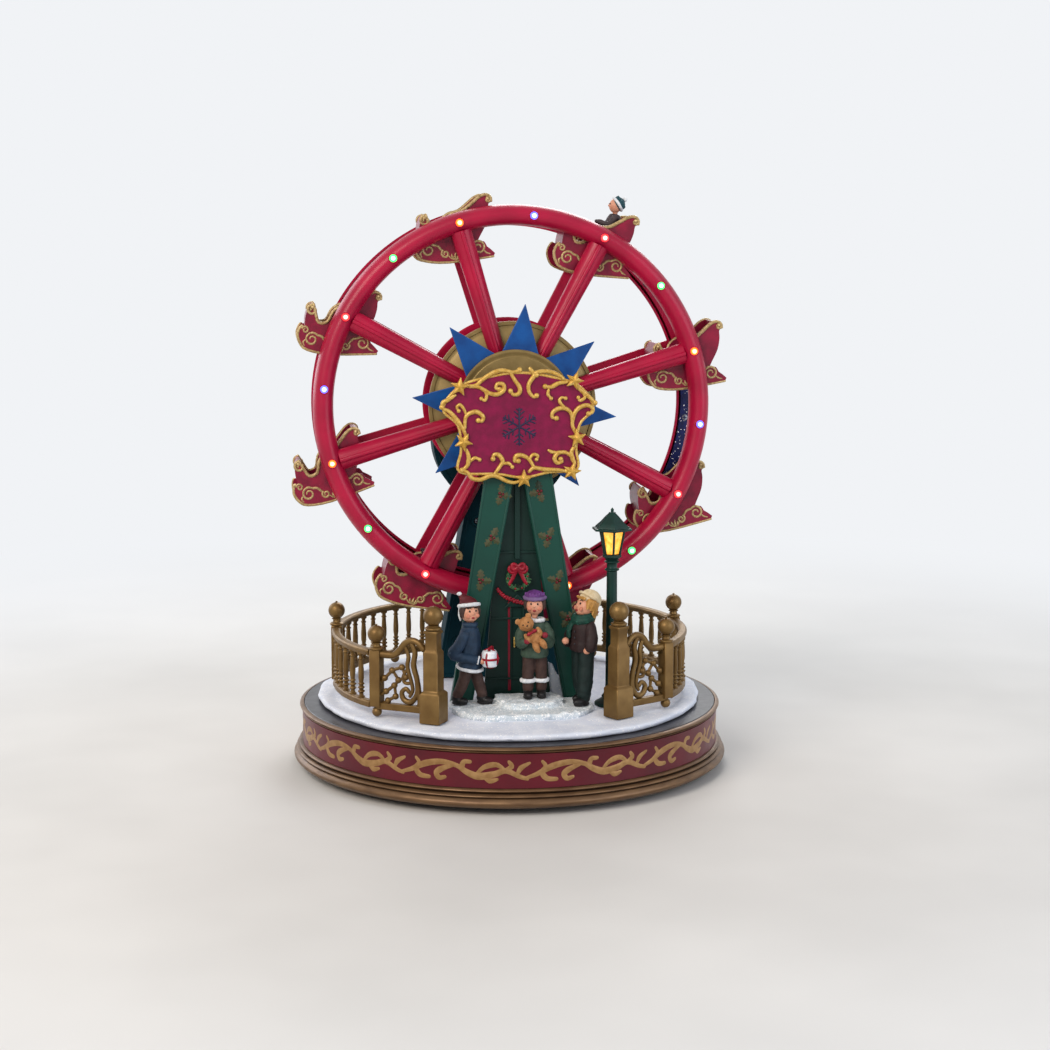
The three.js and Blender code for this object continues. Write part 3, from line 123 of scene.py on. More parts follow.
class Nodes:
    """A small helper that adds and links nodes of one material."""

    def __init__(self, name: str) -> None:
        """Starts a material with a bare Principled shader.

        Args:
            name: The material's name.
        """
        self.material = bpy.data.materials.new(name)
        self.material.use_nodes = True
        self.tree = self.material.node_tree
        self.shader = self.tree.nodes["Principled BSDF"]
        self.output = self.tree.nodes["Material Output"]
        self.place = self.add("ShaderNodeTexCoord").outputs["Object"]

    def add(self, kind: str, **settings: object) -> bpy.types.Node:
        """Adds a node and sets its properties.

        Args:
            kind: Blender's name of the node type.
            **settings: Properties of the node.

        Returns:
            The new node.
        """
        node = self.tree.nodes.new(kind)
        for key, value in settings.items():
            setattr(node, key, value)
        return node

    def feed(self, value: object, target: Socket) -> None:
        """Joins a socket to an input, or sets the input's own value."""
        if isinstance(value, Socket):
            self.tree.links.new(value, target)
        else:
            target.default_value = value

    def surface(self, values: dict[str, object]) -> None:
        """Feeds inputs of the shader by their names."""
        for name, value in values.items():
            self.feed(value, self.shader.inputs[name])

    def noise(self, scale: float, detail: float = 4.0, stretch: Triple = (1, 1, 1)) -> Socket:
        """Adds a noise texture in the object's own coordinates.

        Args:
            scale: Waves per metre.
            detail: Octaves.
            stretch: Scale along each axis, for streaks.

        Returns:
            The noise's factor socket.
        """
        mapping = self.add("ShaderNodeMapping")
        self.feed(stretch, mapping.inputs["Scale"])
        self.feed(self.place, mapping.inputs["Vector"])
        texture = self.add("ShaderNodeTexNoise")
        self.feed(scale, texture.inputs["Scale"])
        self.feed(detail, texture.inputs["Detail"])
        self.feed(mapping.outputs["Vector"], texture.inputs["Vector"])
        return texture.outputs["Fac"]

    def ramp(self, source: Socket, stops: Pair, first: Colour = DARK, last: Colour = PALE) -> Socket:
        """Maps a value to a colour between two stops.

        Args:
            source: The value.
            stops: Where the first colour ends and where the last one starts.
            first: The first colour.
            last: The last colour.

        Returns:
            The ramp's colour socket.
        """
        node = self.add("ShaderNodeValToRGB")
        for element, position, colour in zip(node.color_ramp.elements, stops, (first, last)):
            element.position = position
            element.color = colour
        self.feed(source, node.inputs["Fac"])
        return node.outputs["Color"]

    def mix(self, factor: Socket, first: Colour | Socket, last: Colour | Socket) -> Socket:
        """Mixes two colours.

        Args:
            factor: Socket of the share of the last colour.
            first: A colour or a socket.
            last: A colour or a socket.

        Returns:
            The mixed colour's socket.
        """
        node = self.add("ShaderNodeMix", data_type="RGBA")
        self.feed(factor, node.inputs["Factor"])
        for socket, colour in zip((s for s in node.inputs if s.type == "RGBA"), (first, last)):
            self.feed(colour, socket)
        return next(s for s in node.outputs if s.type == "RGBA")

    def math(self, operation: str, *values: float | Socket) -> Socket:
        """Works out a value from sockets and numbers.

        Args:
            operation: Blender's name of the operation.
            *values: Its inputs in order.

        Returns:
            The result's socket.
        """
        node = self.add("ShaderNodeMath", operation=operation)
        for socket, value in zip(node.inputs, values):
            self.feed(value, socket)
        return node.outputs[0]

    def bump(self, height: Socket, strength: float, depth: float) -> None:
        """Puts a bump on the shader.

        Args:
            height: The height's socket.
            strength: Share of the effect.
            depth: Depth in millimetres.
        """
        node = self.add("ShaderNodeBump")
        self.feed(strength, node.inputs["Strength"])
        self.feed(depth * MM, node.inputs["Distance"])
        self.feed(height, node.inputs["Height"])
        self.surface({"Normal": node.outputs["Normal"]})


class Finish:
    """A finish whose material is made once."""

    name: str

    def material(self) -> bpy.types.Material:
        """Makes the material once and hands out the same one afterwards."""
        return bpy.data.materials.get(self.name) or self.made()

    def made(self) -> bpy.types.Material:
        """Builds the nodes; each kind of finish has its own."""
        raise NotImplementedError


@dataclass(frozen=True)
class Paint(Finish):
    """A painted or moulded surface with mottled colour, a painted highlight with wear on raised edges and painted
    shade in recesses.
    """

    name: str
    colour: str
    shade: str
    slot: str
    rough: float = 0.5
    metal: float = 0.0
    coat: float = 0.0
    mottle: float = 220.0
    # Colour of the painted highlight, with wear, on raised edges, and colour of the painted shade in recesses
    edge_light_and_wear: str = ""
    recess_shade: str = ""
    glitter: float = 0.0
    bump: float = 0.15
    grain: float = 1400.0
    streaks: Triple = (1, 1, 1)
    shine: float = 0.28

    def made(self) -> bpy.types.Material:
        """Builds the nodes.

        Returns:
            The new material.
        """
        nodes = Nodes(self.name)
        cloud = nodes.ramp(nodes.noise(self.mottle, 5, self.streaks), CLOUD_STOPS)
        colour = nodes.mix(cloud, linear(self.shade), linear(self.colour))
        if self.recess_shade or self.edge_light_and_wear:
            point = nodes.add("ShaderNodeNewGeometry").outputs["Pointiness"]
            # Painted shade: recesses, found by pointiness, take a darker colour
            if self.recess_shade:
                colour = nodes.mix(nodes.ramp(point, RECESS_STOPS, PALE, DARK), colour, linear(self.recess_shade))
            # Painted highlight with wear: raised edges, broken up by noise, take a paler colour
            if self.edge_light_and_wear:
                chips = nodes.ramp(nodes.noise(CHIP_SCALE, 4), CHIP_STOPS)
                edge_light_and_wear_mask = nodes.math("MULTIPLY", nodes.ramp(point, EDGE_STOPS), chips)
                colour = nodes.mix(edge_light_and_wear_mask, colour, linear(self.edge_light_and_wear))
        # Painted glints: the real glitter's flakes are painted white, as if each caught the light
        if self.glitter:
            colour = self.sparkle(nodes, colour)
        least = max(LEAST_ROUGH, self.rough - PAINT_SPREAD / 2)
        spread = nodes.math("MULTIPLY_ADD", nodes.noise(self.mottle * 3, 3), PAINT_SPREAD, least)
        nodes.surface({"Base Color": colour, "Roughness": spread, "Metallic": self.metal,
                       "Specular IOR Level": self.shine, "Coat Weight": self.coat, "Coat Roughness": COAT_ROUGH})
        if self.bump:
            nodes.bump(nodes.noise(self.grain, 3, self.streaks), self.bump, GRAIN_DEPTH)
        return nodes.material

    def sparkle(self, nodes: Nodes, colour: Socket) -> Socket:
        """Paints glints of glitter: scatters bright white flakes over the colour.

        Args:
            nodes: The material's nodes.
            colour: The colour so far.

        Returns:
            The colour with flakes.
        """
        cells = nodes.add("ShaderNodeTexVoronoi")
        nodes.feed(FLAKE_SCALE, cells.inputs["Scale"])
        nodes.feed(nodes.place, cells.inputs["Vector"])
        part = nodes.add("ShaderNodeSeparateColor")
        nodes.feed(cells.outputs["Color"], part.inputs[0])
        glint_mask = nodes.ramp(part.outputs[0], (1 - self.glitter, 1 - self.glitter * 0.7))
        return nodes.mix(glint_mask, colour, linear(GLINT_COLOUR))


@dataclass(frozen=True)
class Glow(Finish):
    """A lit surface whose colour drifts to a paler one."""

    name: str
    colour: str
    core: str
    slot: str
    strength: float

    def made(self) -> bpy.types.Material:
        """Builds the nodes.

        Returns:
            The new material.
        """
        nodes = Nodes(self.name)
        cloud = nodes.ramp(nodes.noise(CORE_SCALE, 2), CORE_STOPS)
        tint = nodes.mix(cloud, linear(self.colour), linear(self.core))
        nodes.surface({"Base Color": tint, "Roughness": GLOW_ROUGH, "Emission Color": tint,
                       "Emission Strength": self.strength})
        return nodes.material


class Metal(Enum):
    """Bare metals, each with its material's name, colour, roughness and slot."""

    STEEL = ("bright_steel", "c3c6ca", 0.3, "steel")
    SCREW = ("screw_steel", "aeb4bc", 0.25, "steel")
    CELL = ("cell_sleeve", "8f9296", 0.35, "cell")

    def material(self) -> bpy.types.Material:
        """Makes a brushed metal once.

        Returns:
            The material.
        """
        name, colour, rough, _ = self.value
        found = bpy.data.materials.get(name)
        if found:
            return found
        nodes = Nodes(name)
        streak = nodes.noise(BRUSH_SCALE, 3, BRUSH_STREAKS)
        nodes.surface({"Base Color": nodes.mix(streak, linear(colour), linear(BRUSH_COLOUR)), "Metallic": 1,
                       "Roughness": nodes.math("MULTIPLY_ADD", streak, BRUSH_SPREAD, rough - BRUSH_LEAST)})
        nodes.bump(streak, BRUSH_DEPTH, BRUSH_DEPTH)
        return nodes.material

    @property
    def slot(self) -> str:
        """The record's slot of this metal."""
        return self.value[3]


# Finishes of this wheel; after the mottle scale come the colour of the painted highlight with wear on raised edges and
# the colour of the painted shade in recesses
BRONZE = Paint("fence_bronze", "7d6238", "694f2a", "bronze", 0.4, 0.5, 0, 120, recess_shade="3c2a12", bump=0.06)
MOULDING = Paint("moulding_bronze", "7a5e42", "604731", "bronze", 0.4, 0.45, 0.05, 90, recess_shade="33241a",
                 bump=0.1, streaks=(1, 1, 5))
MAROON = Paint("band_maroon", "62091d", "500718", "maroon", 0.38, 0.0, 0.12, 40, bump=0.04)
SCROLL_GOLD = Paint("scroll_gold", "ab8659", "936f45", "maroon", 0.4, 0.45, 0, 300, bump=0.1)
SLATE = Paint("deck_slate", "2b2930", "212025", "slate", 0.34, 0.0, 0.14, 60, bump=0.12, grain=900)
SNOW = Paint("snow_white", "e6ebf5", "d5dcea", "snow", 0.72, 0.0, 0, 120, glitter=0.05, bump=0.45, grain=700)
CRUST = Paint("snow_crust", "dfe6ea", "c3cfd6", "snow", 0.55, 0.0, 0.045, 300, glitter=0.22, bump=0.8, grain=900)
CRIMSON = Paint("wheel_crimson", "b00c3a", "9a0832", "crimson", 0.38, 0.0, 0.08, 50, bump=0.04)
SLEIGH_RED = Paint("sleigh_crimson", "8f0e35", "6f0a2a", "crimson", 0.38, 0.0, 0.135, 160, recess_shade="3c0618", bump=0.1)
SIGN_RED = Paint("sign_crimson", "82073f", "6c0534", "crimson", 0.45, 0.0, 0.04, 200, bump=0.25, grain=700)
TRIM_GOLD = Paint("sleigh_gold", "a88d62", "846a44", "gold", 0.45, 0.3, 0, 500, "d4bd88", "4a2418", bump=0.2)
FRAME_GOLD = Paint("frame_gold", "cba045", "ad812f", "gold", 0.42, 0.3, 0.04, 400, "e8cc7c", "7a5216", bump=0.2)
DISC_GOLD = Paint("disc_gold", "957f50", "846f43", "gold", 0.42, 0.4, 0.04, 140, bump=0.1)
STAR_BLUE = Paint("star_lacquer", "074f96", "053d7c", "star_blue", 0.5, 0.1, 0.068, 120, bump=0.15)
TEAL = Paint("tower_teal", "0a4237", "083a30", "tower_green", 0.46, 0.0, 0.05, 40, bump=0.05)
DEEP_TEAL = Paint("booth_teal", "062c26", "05251f", "tower_green", 0.5, 0.0, 0, 40, bump=0.08)
REAR_TEAL = Paint("rear_teal", "07323c", "062a33", "tower_green", 0.62, 0.0, 0, 40, bump=0.06, shine=0.1)
HOLLY_GREEN = Paint("holly_green", "3a4a2e", "4c4530", "tower_green", 0.55, 0.0, 0, 500, recess_shade="1c2a1c", bump=0.2)
BERRY = Paint("berry_red", "6d0f1c", "560b16", "wreath", 0.35, 0.0, 0.09, 600)
STRIPE = Paint("stripe_red", "8f0f2c", "7a0c25", "crimson", 0.4, 0.0, 0.09, 200)
WREATH_GREEN = Paint("wreath_green", "2c5b38", "1c4027", "wreath", 0.6, 0.0, 0, 900, "587f55", "0c2013", bump=0.5)
BOW_RED = Paint("bow_red", "a3112a", "7e0c20", "wreath", 0.4, 0.0, 0.08, 400, recess_shade="4c0812")
LAMP_GREEN = Paint("lamp_paint", "0a332c", "072721", "lamp_green", 0.45, 0.1, 0.05, 200, bump=0.08)
BLACK = Paint("black_moulding", "1b1b1c", "141415", "black", 0.55, 0.0, 0, 200, bump=0.3, grain=1800)
RUBBER = Paint("foot_rubber", "161616", "0f0f10", "rubber_black", 0.8, 0.0, 0, 300, bump=0.4, grain=1600)
BOARD = Paint("board_green", "145c37", "0f4a2c", "board", 0.4, 0.0, 0.135, 500, bump=0.1)
CHANNEL = Paint("channel_blue", "14205c", "0c1440", "led_blue", 0.4, 0.1, 0.09, 400, glitter=0.03, bump=0.4)
IVORY = Paint("ivory_moulding", "e4ddc8", "d6cdb4", "ivory", 0.5, 0.0, 0.045, 200)
SIGN_INK = Paint("sign_ink", "2c1f42", "241a38", "crimson", 0.5, 0.0, 0, 200)
MOUTH = Paint("figure_mouth", "9c3a3a", "842e30", "figure_navy", 0.5, 0.0, 0, 500)
HAT_LILAC = Paint("hat_lilac", "7d6690", "684f7c", "figure_green", 0.6, 0.0, 0, 400, "9a86ac", "3a2450", bump=0.4)
SKIN = Paint("figure_skin", "dba286", "cf8f74", "figure_navy", 0.5, 0.0, 0.045, 500, recess_shade="9a5a44")
CHEEK = Paint("figure_cheek", "d08a70", "c88068", "figure_navy", 0.5, 0.0, 0, 500)
EYE = Paint("figure_eye", "1d1512", "120d0b", "figure_navy", 0.2, 0.0, 0.18, 500)
FUR = Paint("white_fur", "eef0f2", "d3d8de", "snow", 0.8, 0.0, 0, 700, recess_shade="9aa2ac", bump=0.9, grain=1500)
NAVY = Paint("jacket_navy", "22384f", "182a3d", "figure_navy", 0.58, 0.0, 0, 350, "48627c", "0a131e", bump=0.3)
HAT_RED = Paint("hat_dark_red", "5e1a22", "4a131a", "figure_navy", 0.6, 0.0, 0, 400, "8a3a3e", "240a0d", bump=0.4)
HAT_PURPLE = Paint("hat_purple", "6a3a80", "542c66", "figure_green", 0.6, 0.0, 0, 400, "8e5ea2", "2a1436", bump=0.4)
BROWN = Paint("trousers_brown", "4a3630", "382824", "figure_navy", 0.65, 0.0, 0, 350, "6b544c", "18100d", bump=0.3)
BOOT = Paint("boots_black", "1c1b1c", "121112", "figure_navy", 0.45, 0.0, 0.045, 300, "45434a", bump=0.2)
COAT_GREEN = Paint("coat_grey_green", "44584a", "34463a", "figure_green", 0.62, 0.0, 0, 350, "6a8070", "141d16",
                   bump=0.3)
SLEEVE_RED = Paint("sleeve_red", "8d2230", "701a26", "figure_green", 0.6, 0.0, 0, 400, "b0485a", "300a10", bump=0.3)
TEDDY = Paint("teddy_tan", "b98452", "9c6a3e", "figure_green", 0.75, 0.0, 0, 600, "d9aa7a", "5a371c", bump=0.8)
COAT_BROWN = Paint("coat_maroon_brown", "302020", "241818", "figure_brown", 0.62, 0.0, 0, 350, "4c3838", "0e0808",
                   bump=0.3)
SCARF = Paint("scarf_green", "15463a", "0f362d", "figure_brown", 0.62, 0.0, 0, 400, "3a6f60", "061a15", bump=0.4)
PANTS_GREEN = Paint("trousers_green", "142624", "0e1c1a", "figure_brown", 0.62, 0.0, 0, 350, "304440", "050b0a",
                    bump=0.3)
CREAM = Paint("hat_cream", "e0cfae", "cdb88f", "figure_brown", 0.7, 0.0, 0, 400, recess_shade="8d744c", bump=0.5)
BLONDE = Paint("hair_blonde", "c8964e", "a9783a", "figure_brown", 0.5, 0.0, 0.045, 600, "e2bd7c", "5e3c18", bump=0.5,
               streaks=(6, 6, 1))
WHITE = Paint("gift_white", "edf0f4", "dde2ea", "figure_navy", 0.45, 0.0, 0.045, 300)
GREY_COAT = Paint("rider_coat", "4c4143", "3a3134", "rider_paint", 0.6, 0.0, 0, 350, "73676a", "161213", bump=0.3)
BEANIE = Paint("rider_beanie", "1d4a54", "163a43", "rider_paint", 0.6, 0.0, 0, 400, "3f7079", "081c21", bump=0.4)
# The lights of the rim in their order, each with the finish of its dome and of its core
LIGHTS = {
    "red": (Glow("led_red", "ff2020", "ff3838", "led_blue", 3.4),
            Glow("led_red_core", "ff9a8c", "ffb8ac", "led_blue", 3.0)),
    "green": (Glow("led_green", "2cff62", "50ff80", "led_blue", 2.2),
              Glow("led_green_core", "b4ffd0", "d0ffe2", "led_blue", 2.4)),
    "orange": (Glow("led_orange", "ff500f", "ff6a1e", "led_blue", 3.4),
               Glow("led_orange_core", "ffc080", "ffd0a0", "led_blue", 3.0)),
    "blue": (Glow("led_blue_light", "3f50ff", "5560ff", "led_blue", 3.4),
             Glow("led_blue_core", "a4b0ff", "bcc6ff", "led_blue", 3.0)),
}
PANE = Glow("lantern_pane", "f0921e", "ffc65a", "lamp_amber", 1.1)


# Meshes

@dataclass
class Shape:
    """Corners in millimetres and faces."""

    points: list[Vector] = field(default_factory=list)
    faces: list[tuple[int, ...]] = field(default_factory=list)

    def ring(self, places: Iterable[Sequence[float]]) -> list[int]:
        """Adds corners.

        Args:
            places: Their places.

        Returns:
            Their numbers.
        """
        start = len(self.points)
        self.points += [Vector(place) for place in places]
        return list(range(start, len(self.points)))

    def face(self, corners: Iterable[int]) -> None:
        """Adds a face."""
        self.faces.append(tuple(corners))

    def bridge(self, lower: Sequence[int], upper: Sequence[int], closed: bool = True) -> None:
        """Joins two rows of corners with faces; a row of one corner is a tip.

        Args:
            lower: Numbers of the first row.
            upper: Numbers of the second row.
            closed: Whether the rows close on themselves.
        """
        count = max(len(lower), len(upper))
        for i in range(count if closed else count - 1):
            j = (i + 1) % count
            corners = [lower[i % len(lower)], lower[j % len(lower)], upper[j % len(upper)], upper[i % len(upper)]]
            self.face(dict.fromkeys(corners))

    def loft(self, rows: Sequence[Sequence[int]], closed: bool = True, capped: bool = False) -> "Shape":
        """Joins rows of corners one after another.

        Args:
            rows: Numbers of each row.
            closed: Whether the rows close on themselves.
            capped: Whether the first row and the last one become faces.

        Returns:
            This shape.
        """
        for lower, upper in zip(rows, rows[1:]):
            self.bridge(lower, upper, closed)
        if capped:
            self.face(rows[0])
            self.face(reversed(rows[-1]))
        return self

    def add(self, *others: "Shape") -> "Shape":
        """Adds other shapes to this one.

        Args:
            *others: The shapes.

        Returns:
            This shape.
        """
        for other in others:
            start = len(self.points)
            self.points += other.points
            self.faces += [tuple(i + start for i in face) for face in other.faces]
        return self

    def moved(self, *steps: Matrix) -> "Shape":
        """Copies the shape and moves the copy.

        Args:
            *steps: Matrices, the first one applied first.

        Returns:
            The moved copy.
        """
        whole = Matrix.Identity(4)
        for step in steps:
            whole = step @ whole
        faces = [tuple(reversed(f)) for f in self.faces] if whole.determinant() < 0 else list(self.faces)
        return Shape([whole @ p for p in self.points], faces)

    def bent(self, change: Callable[[Vector], Vector]) -> "Shape":
        """Copies the shape with each corner put where a function says."""
        return Shape([change(p) for p in self.points], list(self.faces))


def shift(x: float = 0, y: float = 0, z: float = 0) -> Matrix:
    """A move along the axes."""
    return Matrix.Translation((x, y, z))


def turn(angle: float, axis: str = "Z") -> Matrix:
    """A turn in degrees about an axis through the origin."""
    return Matrix.Rotation(math.radians(angle), 4, axis)


def size(x: float, y: float, z: float) -> Matrix:
    """A change of size along the axes."""
    return Matrix.Diagonal((x, y, z, 1))


def angles(count: int) -> list[float]:
    """Even steps round a circle, in radians."""
    return [2 * math.pi * i / count for i in range(count)]


def polar(radius: float, angle: float, middle: Pair = (0, 0)) -> Pair:
    """A point on a circle, with the angle in degrees from the first axis."""
    a = math.radians(angle)
    return middle[0] + radius * math.cos(a), middle[1] + radius * math.sin(a)


def arc(radius: float, start: float, end: float, steps: int, middle: Pair = (0, 0)) -> list[Pair]:
    """Points along an arc.

    Args:
        radius: The arc's radius.
        start: First angle in degrees.
        end: Last angle in degrees.
        steps: Number of steps.
        middle: The arc's middle.

    Returns:
        One more point than steps.
    """
    return [polar(radius, start + (end - start) * i / steps, middle) for i in range(steps + 1)]


def lathe(profile: Sequence[Pair], segments: int = 96) -> Shape:
    """Turns a profile about Z.

    Args:
        profile: Radius and height of each point.
        segments: Sides of the circle.

    Returns:
        The turned shape.
    """
    shape = Shape()
    rows = []
    for radius, height in profile:
        if radius < 1e-6:
            rows.append(shape.ring([(0, 0, height)]))
        else:
            circle = arc(radius, 0, 360 * (1 - 1 / segments), segments - 1)
            rows.append(shape.ring((x, y, height) for x, y in circle))
    return shape.loft(rows)


def spline(points: Sequence[Sequence[float]], steps: int = 6, closed: bool = False) -> list[Vector]:
    """Runs a smooth curve through points.

    Args:
        points: Two or three values each; two values are X and Z.
        steps: Steps between two points.
        closed: Whether the curve returns to its start.

    Returns:
        Points along the curve.
    """
    knots = [Vector((p[0], 0, p[1])) if len(p) == 2 else Vector(p) for p in points]
    count = len(knots)
    line = []
    for i in range(count if closed else count - 1):
        a, b, c, d = (knots[(i + k) % count] if closed else knots[min(max(i + k, 0), count - 1)]
                      for k in (-1, 0, 1, 2))
        for j in range(steps):
            t = j / steps
            line.append(0.5 * ((2 * b) + (c - a) * t + (2 * a - 5 * b + 4 * c - d) * t * t
                               + (3 * b - a - 3 * c + d) * t ** 3))
    return line if closed else line + [knots[-1]]


def sweep(path: Iterable[Sequence[float]], radius: float | Sequence[float], sides: int = 8, closed: bool = False,
          flat: float = 1.0) -> Shape:
    """Runs a round section along a path and rounds its ends.

    Args:
        path: Points of the path.
        radius: One radius, or one at each of several even stations from start to end.
        sides: Sides of the section.
        closed: Whether the path closes on itself.
        flat: Height of the section along Y, as a share of its width.

    Returns:
        The swept shape.
    """
    line = [Vector(point) for point in path]
    stations = [radius] if isinstance(radius, (int, float)) else list(radius)
    count = len(line)

    def width(share: float) -> float:
        """The radius at a share of the path's length."""
        place = share * (len(stations) - 1)
        low = min(int(place), len(stations) - 1)
        high = min(low + 1, len(stations) - 1)
        return stations[low] + (stations[high] - stations[low]) * (place - low)

    shape = Shape()
    rows = []
    across = Vector((0, 1, 0))

    def row(centre: Vector, ahead: Vector, size_here: float) -> None:
        """Adds one ring about a point of the path."""
        side = across.cross(ahead).normalized()
        top = ahead.cross(side).normalized()
        rows.append(shape.ring(centre + side * (size_here * math.cos(a)) + top * (size_here * flat * math.sin(a))
                               for a in angles(sides)))

    for i, centre in enumerate(line):
        before = line[i - 1] if closed or i else line[0]
        after = line[(i + 1) % count] if closed or i < count - 1 else line[-1]
        ahead = (after - before).normalized()
        if abs(across.dot(ahead)) > 0.95:
            across = across.cross(Vector((0.3, 0.5, 0.8))).normalized()
        here = width(i / max(1, count - 1))
        if not closed and i == 0:
            rows.append(shape.ring([centre - ahead * here]))
            row(centre - ahead * here * 0.7, ahead, here * 0.7)
        row(centre, ahead, here)
        if not closed and i == count - 1:
            row(centre + ahead * here * 0.7, ahead, here * 0.7)
            rows.append(shape.ring([centre + ahead * here]))
    shape.loft(rows)
    if closed:
        shape.bridge(rows[-1], rows[0])
    return shape


def prism(outline: Sequence[Pair], front: float, thickness: float) -> Shape:
    """Makes a plate from an outline in X and Z, with its front at a given Y.

    Args:
        outline: X and Z of each corner.
        front: Y of the front.
        thickness: How far it reaches back.

    Returns:
        The plate.
    """
    shape = Shape()
    rows = [shape.ring((x, y, z) for x, z in outline) for y in (front, front + thickness)]
    return shape.loft(rows, capped=True)


def ball(radii: Triple, middle: Sequence[float] = (0, 0, 0), segments: int = 20, rings: int = 12) -> Shape:
    """Makes an egg with its poles along Z.

    Args:
        radii: Half sizes along the axes.
        middle: Its middle.
        segments: Sides of its equator.
        rings: Steps from pole to pole.

    Returns:
        The egg.
    """
    profile = [(max(0.0, x), z) for x, z in arc(1, -90, 90, rings)]
    profile[0], profile[-1] = (0, -1), (0, 1)
    return lathe(profile, segments).moved(size(*radii), shift(*middle))


def bar(low: Triple, high: Triple) -> Shape:
    """Makes a box between two corners, to be bevelled by its piece."""
    xs, zs = (low[0], high[0]), (low[2], high[2])
    return prism([(xs[0], zs[0]), (xs[1], zs[0]), (xs[1], zs[1]), (xs[0], zs[1])], low[1], high[1] - low[1])


def rough_up(shape: Shape, amount: float, scale: float, seed: float = 0.0) -> Shape:
    """Moves each corner a little by a smooth noise.

    Args:
        shape: The shape.
        amount: Largest move in millimetres.
        scale: Waves per millimetre.
        seed: A number that picks the pattern.

    Returns:
        The uneven copy.
    """
    return shape.bent(lambda p: p + noise.noise_vector(p * scale + Vector((seed, seed, seed))) * amount)


def into_scene(name: str, data: bpy.types.ID) -> bpy.types.Object:
    """Puts a new object with its data into the scene."""
    made = bpy.data.objects.new(name, data)
    bpy.context.scene.collection.objects.link(made)
    return made


def mesh_of(name: str, shape: Shape, scale: float, merge: float) -> bpy.types.Mesh:
    """Makes a clean mesh of a shape.

    Args:
        name: The mesh's name.
        shape: The shape.
        scale: Length of one of its millimetres in the mesh.
        merge: Corners nearer than this become one.

    Returns:
        The mesh.
    """
    mesh = bpy.data.meshes.new(name)
    mesh.from_pydata([p * scale for p in shape.points], [], shape.faces)
    tidy = bmesh.new()
    tidy.from_mesh(mesh)
    bmesh.ops.remove_doubles(tidy, verts=tidy.verts, dist=merge)
    bmesh.ops.recalc_face_normals(tidy, faces=tidy.faces)
    tidy.to_mesh(mesh)
    tidy.free()
    return mesh


def piece(name: str, shape: Shape, finish: Finish | Metal, body: str, replaces: Sequence[str] = (),
          bevel: float = 0.0, angle: float = 38, voxel: float = 0.0) -> None:
    """Makes a finished object of a shape and hangs it on its CAD body.

    Args:
        name: The piece's name.
        shape: Its mesh in millimetres.
        finish: Its finish.
        body: The CAD body that it rides on.
        replaces: CAD nodes that it stands for.
        bevel: Width of the bevel in millimetres, or 0.
        angle: Edges sharper than this many degrees stay sharp.
        voxel: Size of the cells that fuse the shape into one skin, or 0.
    """
    mesh = mesh_of(name, shape, MM, 1e-6)
    mesh.materials.append(finish.material())
    mesh.shade_smooth()
    if not voxel:
        mesh.set_sharp_from_angle(angle=math.radians(angle))
    made = into_scene(name, mesh)
    if bevel:
        rounding = made.modifiers.new("rounding", "BEVEL")
        rounding.width = bevel * MM
        rounding.segments = 2
        rounding.limit_method = "ANGLE"
        rounding.angle_limit = math.radians(angle)
        rounding.harden_normals = False
    if voxel:
        skin = made.modifiers.new("skin", "REMESH")
        skin.mode = "VOXEL"
        skin.voxel_size = voxel * MM
        skin.use_smooth_shade = True
        soft = made.modifiers.new("soft", "SMOOTH")
        soft.factor = 0.5
        soft.iterations = 4
    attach(made, body)
    if replaces:
        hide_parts(*replaces)


def dress(finish: Finish | Metal, *nodes: str) -> None:
    """Gives CAD nodes that stay in sight a better finish."""
    for node in nodes:
        mesh = frame["nodes"][node].data
        mesh.materials.clear()
        mesh.materials.append(finish.material())


def carved(whole: Shape, *cutters: Shape) -> Shape:
    """Cuts shapes out of another one.

    Args:
        whole: The shape that is cut.
        *cutters: The shapes that are taken away.

    Returns:
        What is left.
    """
    target, *tools = (into_scene("helper", mesh_of("helper", shape, 1, 1e-4)) for shape in (whole, *cutters))
    for tool in tools:
        cut = target.modifiers.new("cut", "BOOLEAN")
        cut.operation = "DIFFERENCE"
        cut.solver = "EXACT"
        cut.object = tool
    seen = target.evaluated_get(bpy.context.evaluated_depsgraph_get())
    mesh = seen.to_mesh()
    result = Shape([v.co.copy() for v in mesh.vertices], [tuple(p.vertices) for p in mesh.polygons])
    seen.to_mesh_clear()
    for helper in (target, *tools):
        data = helper.data
        bpy.data.objects.remove(helper)
        bpy.data.meshes.remove(data)
    return result


def bead(bottom: float, height: float, root: float, crown: float, steps: int = 8) -> list[Pair]:
    """A bulge of a lathe profile.

    Args:
        bottom: Height of its foot.
        height: Its own height.
        root: Radius at its ends.
        crown: Radius at its middle.
        steps: Number of steps.

    Returns:
        Points of the profile.
    """
    return [(root + (crown - root) * math.sin(math.pi * i / steps), bottom + height * i / steps)
            for i in range(steps + 1)]


def screw(radius: float, height: float) -> Shape:
    """A pan head with a cross recess, standing on Z = 0.

    Args:
        radius: Radius of the head.
        height: Height of the head.

    Returns:
        The head.
    """
    head = lathe([(0, 0), (radius, 0), (radius, height * 0.4), (radius * 0.8, height * 0.85), (0, height)], 24)
    slots = [bar((-radius * a, -radius * b, height * 0.45), (radius * a, radius * b, height * 2))
             for a, b in ((0.62, 0.14), (0.14, 0.62))]
    return carved(head, *slots)


# Base

